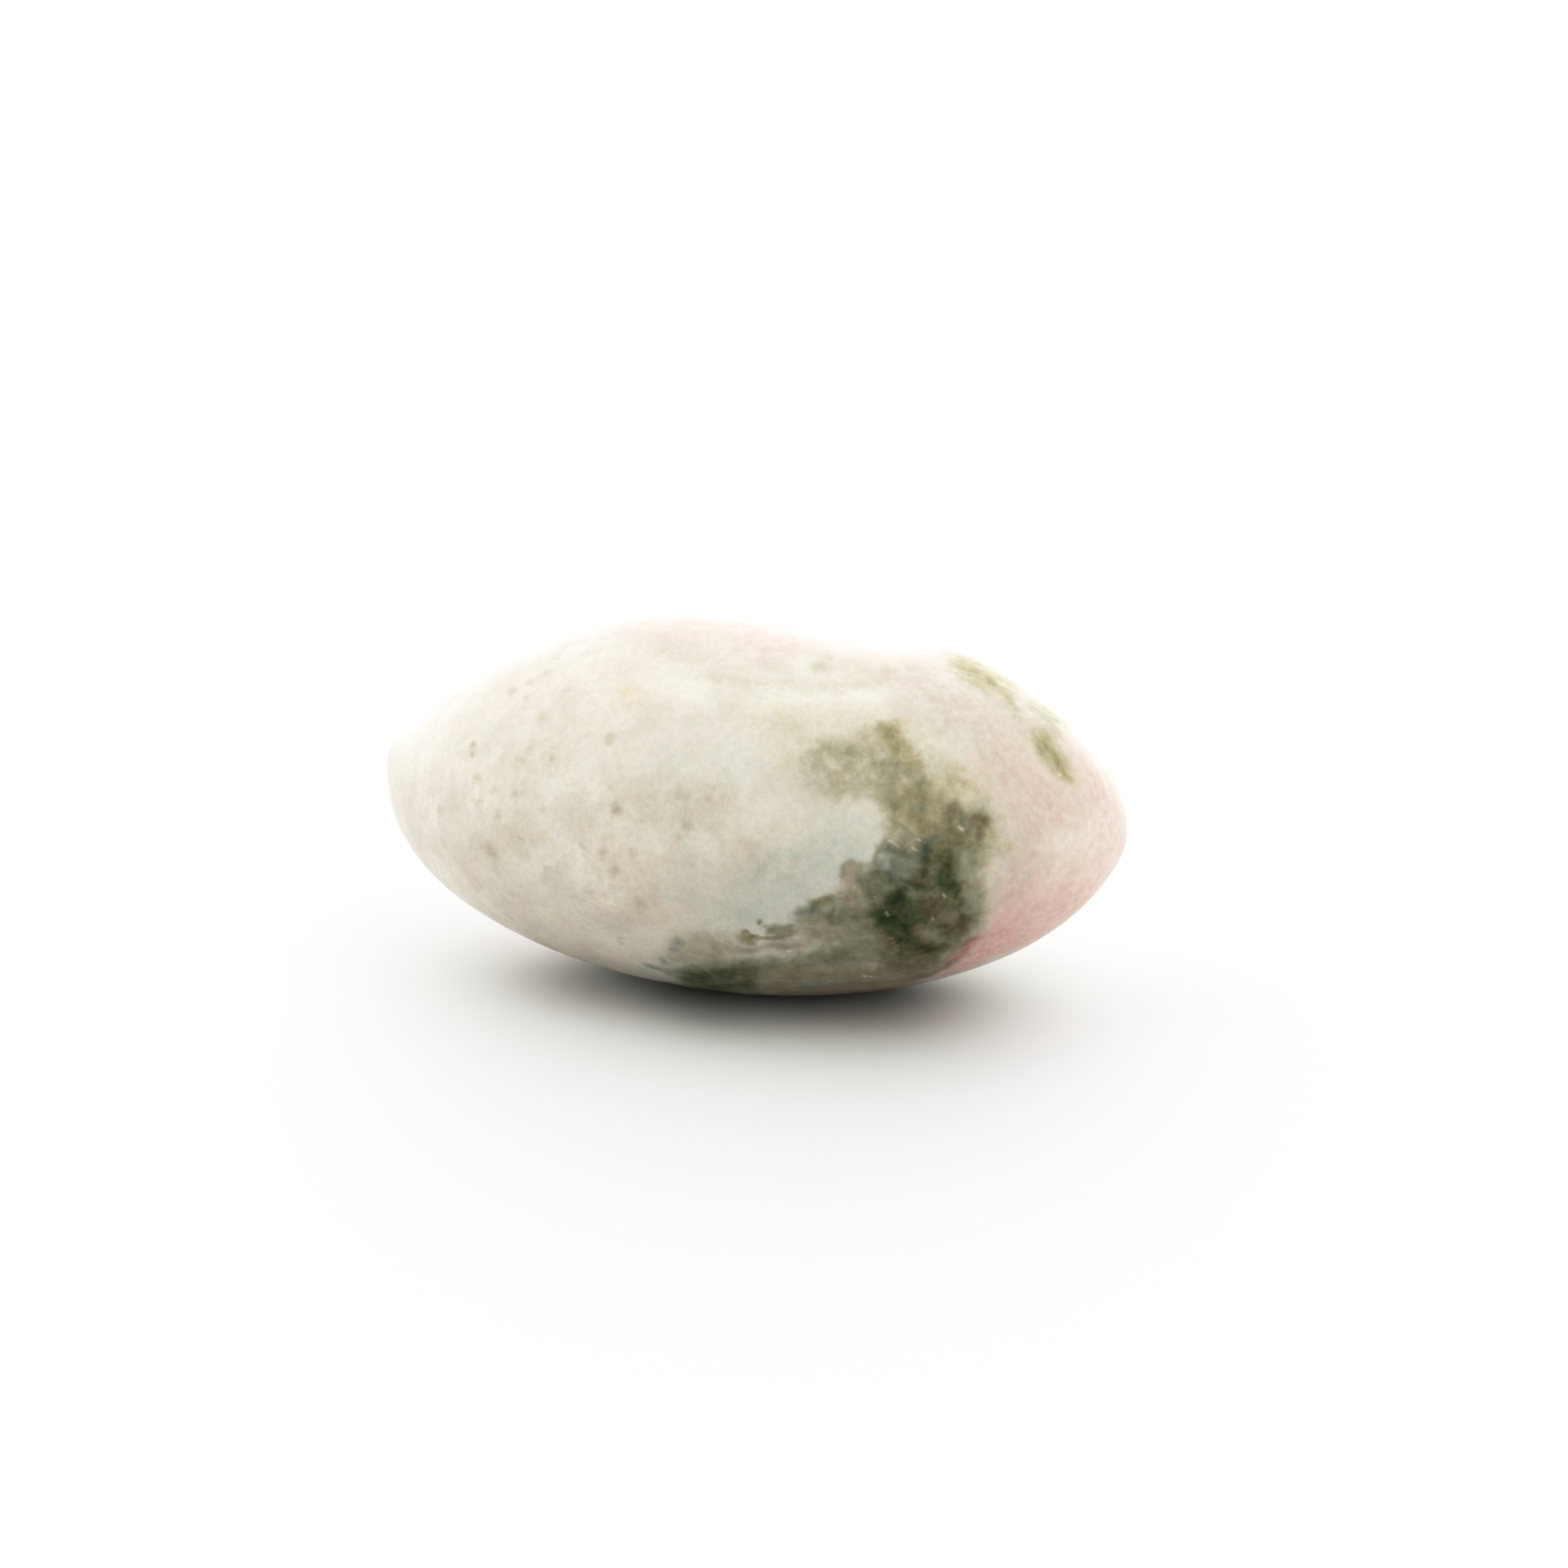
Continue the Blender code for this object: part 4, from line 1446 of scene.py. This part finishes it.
@dataclass(frozen=True)
class Studio:
    """White ground in soft light from white surroundings."""

    floor_radius: float = 1.9
    floor_colour: Colour = (0.70, 0.70, 0.695)
    floor_roughness: float = 0.7
    ambient: float = 0.25
    edge: tuple[float, float] = (0.6, 1.0)
    glows: tuple[Glow, ...] = (
        Glow(0.0, 90.0, 0.80),
        Glow(90.0, 4.0, 2.63),
        Glow(135.0, 4.0, 1.20),
        Glow(180.0, 30.0, 1.08),
        Glow(180.0, 4.0, 0.35),
        Glow(20.0, 4.0, 0.30),
        Glow(315.0, 30.0, 1.50),
        Glow(45.0, 30.0, 0.80),
    )
    tone_curve: tuple[Place, ...] = (
        (0.0, 0.0),
        (0.10, 0.035),
        (0.20, 0.09),
        (0.35, 0.215),
        (0.50, 0.42),
        (0.70, 0.735),
        (0.90, 0.95),
        (1.0, 1.0),
    )

    def build(self) -> None:
        """Make the floor, the surroundings and the picture's contrast."""
        self._floor()
        self._world()
        self._tones()

    def _floor(self) -> None:
        """A wide white disc that the stone lies on."""
        shape = bmesh.new()
        bmesh.ops.create_circle(shape, cap_ends=True, segments=96, radius=self.floor_radius)
        mesh = bpy.data.meshes.new("studio_floor")
        shape.to_mesh(mesh)
        shape.free()
        material = bpy.data.materials.new("white_ground")
        material.use_nodes = True
        material.node_tree.nodes.clear()
        graph = Graph(material.node_tree)
        place = graph.wire("ShaderNodeTexCoord", None, None, "Object")
        cloud = graph.wire("ShaderNodeTexNoise", None, {"Vector": place, "Scale": 60.0, "Detail": 3.0})
        colour = graph.mix(cloud * 0.03, self.floor_colour, (0.66, 0.665, 0.67))
        sockets = {"Base Color": colour, "Roughness": self.floor_roughness, "Specular IOR Level": 0.2}
        shader = graph.wire("ShaderNodeBsdfPrincipled", None, sockets)
        graph.add("ShaderNodeOutputMaterial", None, {"Surface": shader})
        mesh.materials.append(material)
        floor = bpy.data.objects.new("studio_floor", mesh)
        bpy.context.scene.collection.objects.link(floor)

    def _world(self) -> None:
        """White surroundings with some brighter parts."""
        world = bpy.data.worlds.new("white_surroundings")
        world.use_nodes = True
        world.node_tree.nodes.clear()
        graph = Graph(world.node_tree)
        toward = graph.wire("ShaderNodeTexCoord", None, None, "Generated").normalized()
        strength: Any = self.ambient
        for glow in self.glows:
            strength = toward.dot(glow.direction()).smooth(*self.edge) * glow.strength + strength
        sockets = {"Color": (1.0, 1.0, 1.0, 1.0), "Strength": strength}
        light = graph.wire("ShaderNodeBackground", None, sockets)
        shown = graph.wire("ShaderNodeBackground", None, {"Color": (1.0, 1.0, 1.0, 1.0), "Strength": 1.0})
        seen = graph.wire("ShaderNodeLightPath", None, None, "Is Camera Ray")
        mixed = graph.wire("ShaderNodeMixShader", None, {0: seen, 1: light, 2: shown})
        graph.add("ShaderNodeOutputWorld", None, {"Surface": mixed})
        bpy.context.scene.world = world

    def _tones(self) -> None:
        """Give the picture the contrast of a photograph."""
        view = bpy.context.scene.view_settings
        view.view_transform = "Standard"
        view.use_curve_mapping = True
        curve = view.curve_mapping.curves[3]
        for place, height in self.tone_curve[1:-1]:
            curve.points.new(place, height)
        view.curve_mapping.update()


@dataclass(frozen=True)
class Pebble:
    """The whole stone: skin, nicks, marks and finish."""

    camera: PhotoCamera
    form: WornForm = field(default_factory=WornForm)
    pocks: Pocks = field(default_factory=Pocks)
    finish: TugtupiteFinish = field(default_factory=TugtupiteFinish)

    def build(self) -> bpy.types.Object:
        """Make the stone and put it in the place of the fixed model's solid.

        Returns:
            The stone's object.
        """
        material = self.finish.open()
        piece = SkinTree(self.form, self.pocks).build(material)
        skin = Skin(piece, self.camera)
        skin.refine(NICKS)
        skin.chip(NICKS)
        skin.lay(STROKES)
        skin.veil(VEILS)
        self.finish.fill(material, skin.seen_point)
        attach(piece, BODY)
        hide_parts(CAD_NODE)
        return piece


def main() -> None:
    """Build the camera, the stone and the studio, and report the stone's triangles."""
    logging.basicConfig(level=logging.INFO, format="%(message)s")
    camera = PhotoCamera()
    camera.build()
    stone = Pebble(camera).build()
    faces = sum(len(polygon.vertices) - 2 for polygon in stone.data.polygons)
    LOG.info("stone: %s, %d triangles", stone.name, faces)
    Studio().build()


if __name__ == "__main__":
    main()
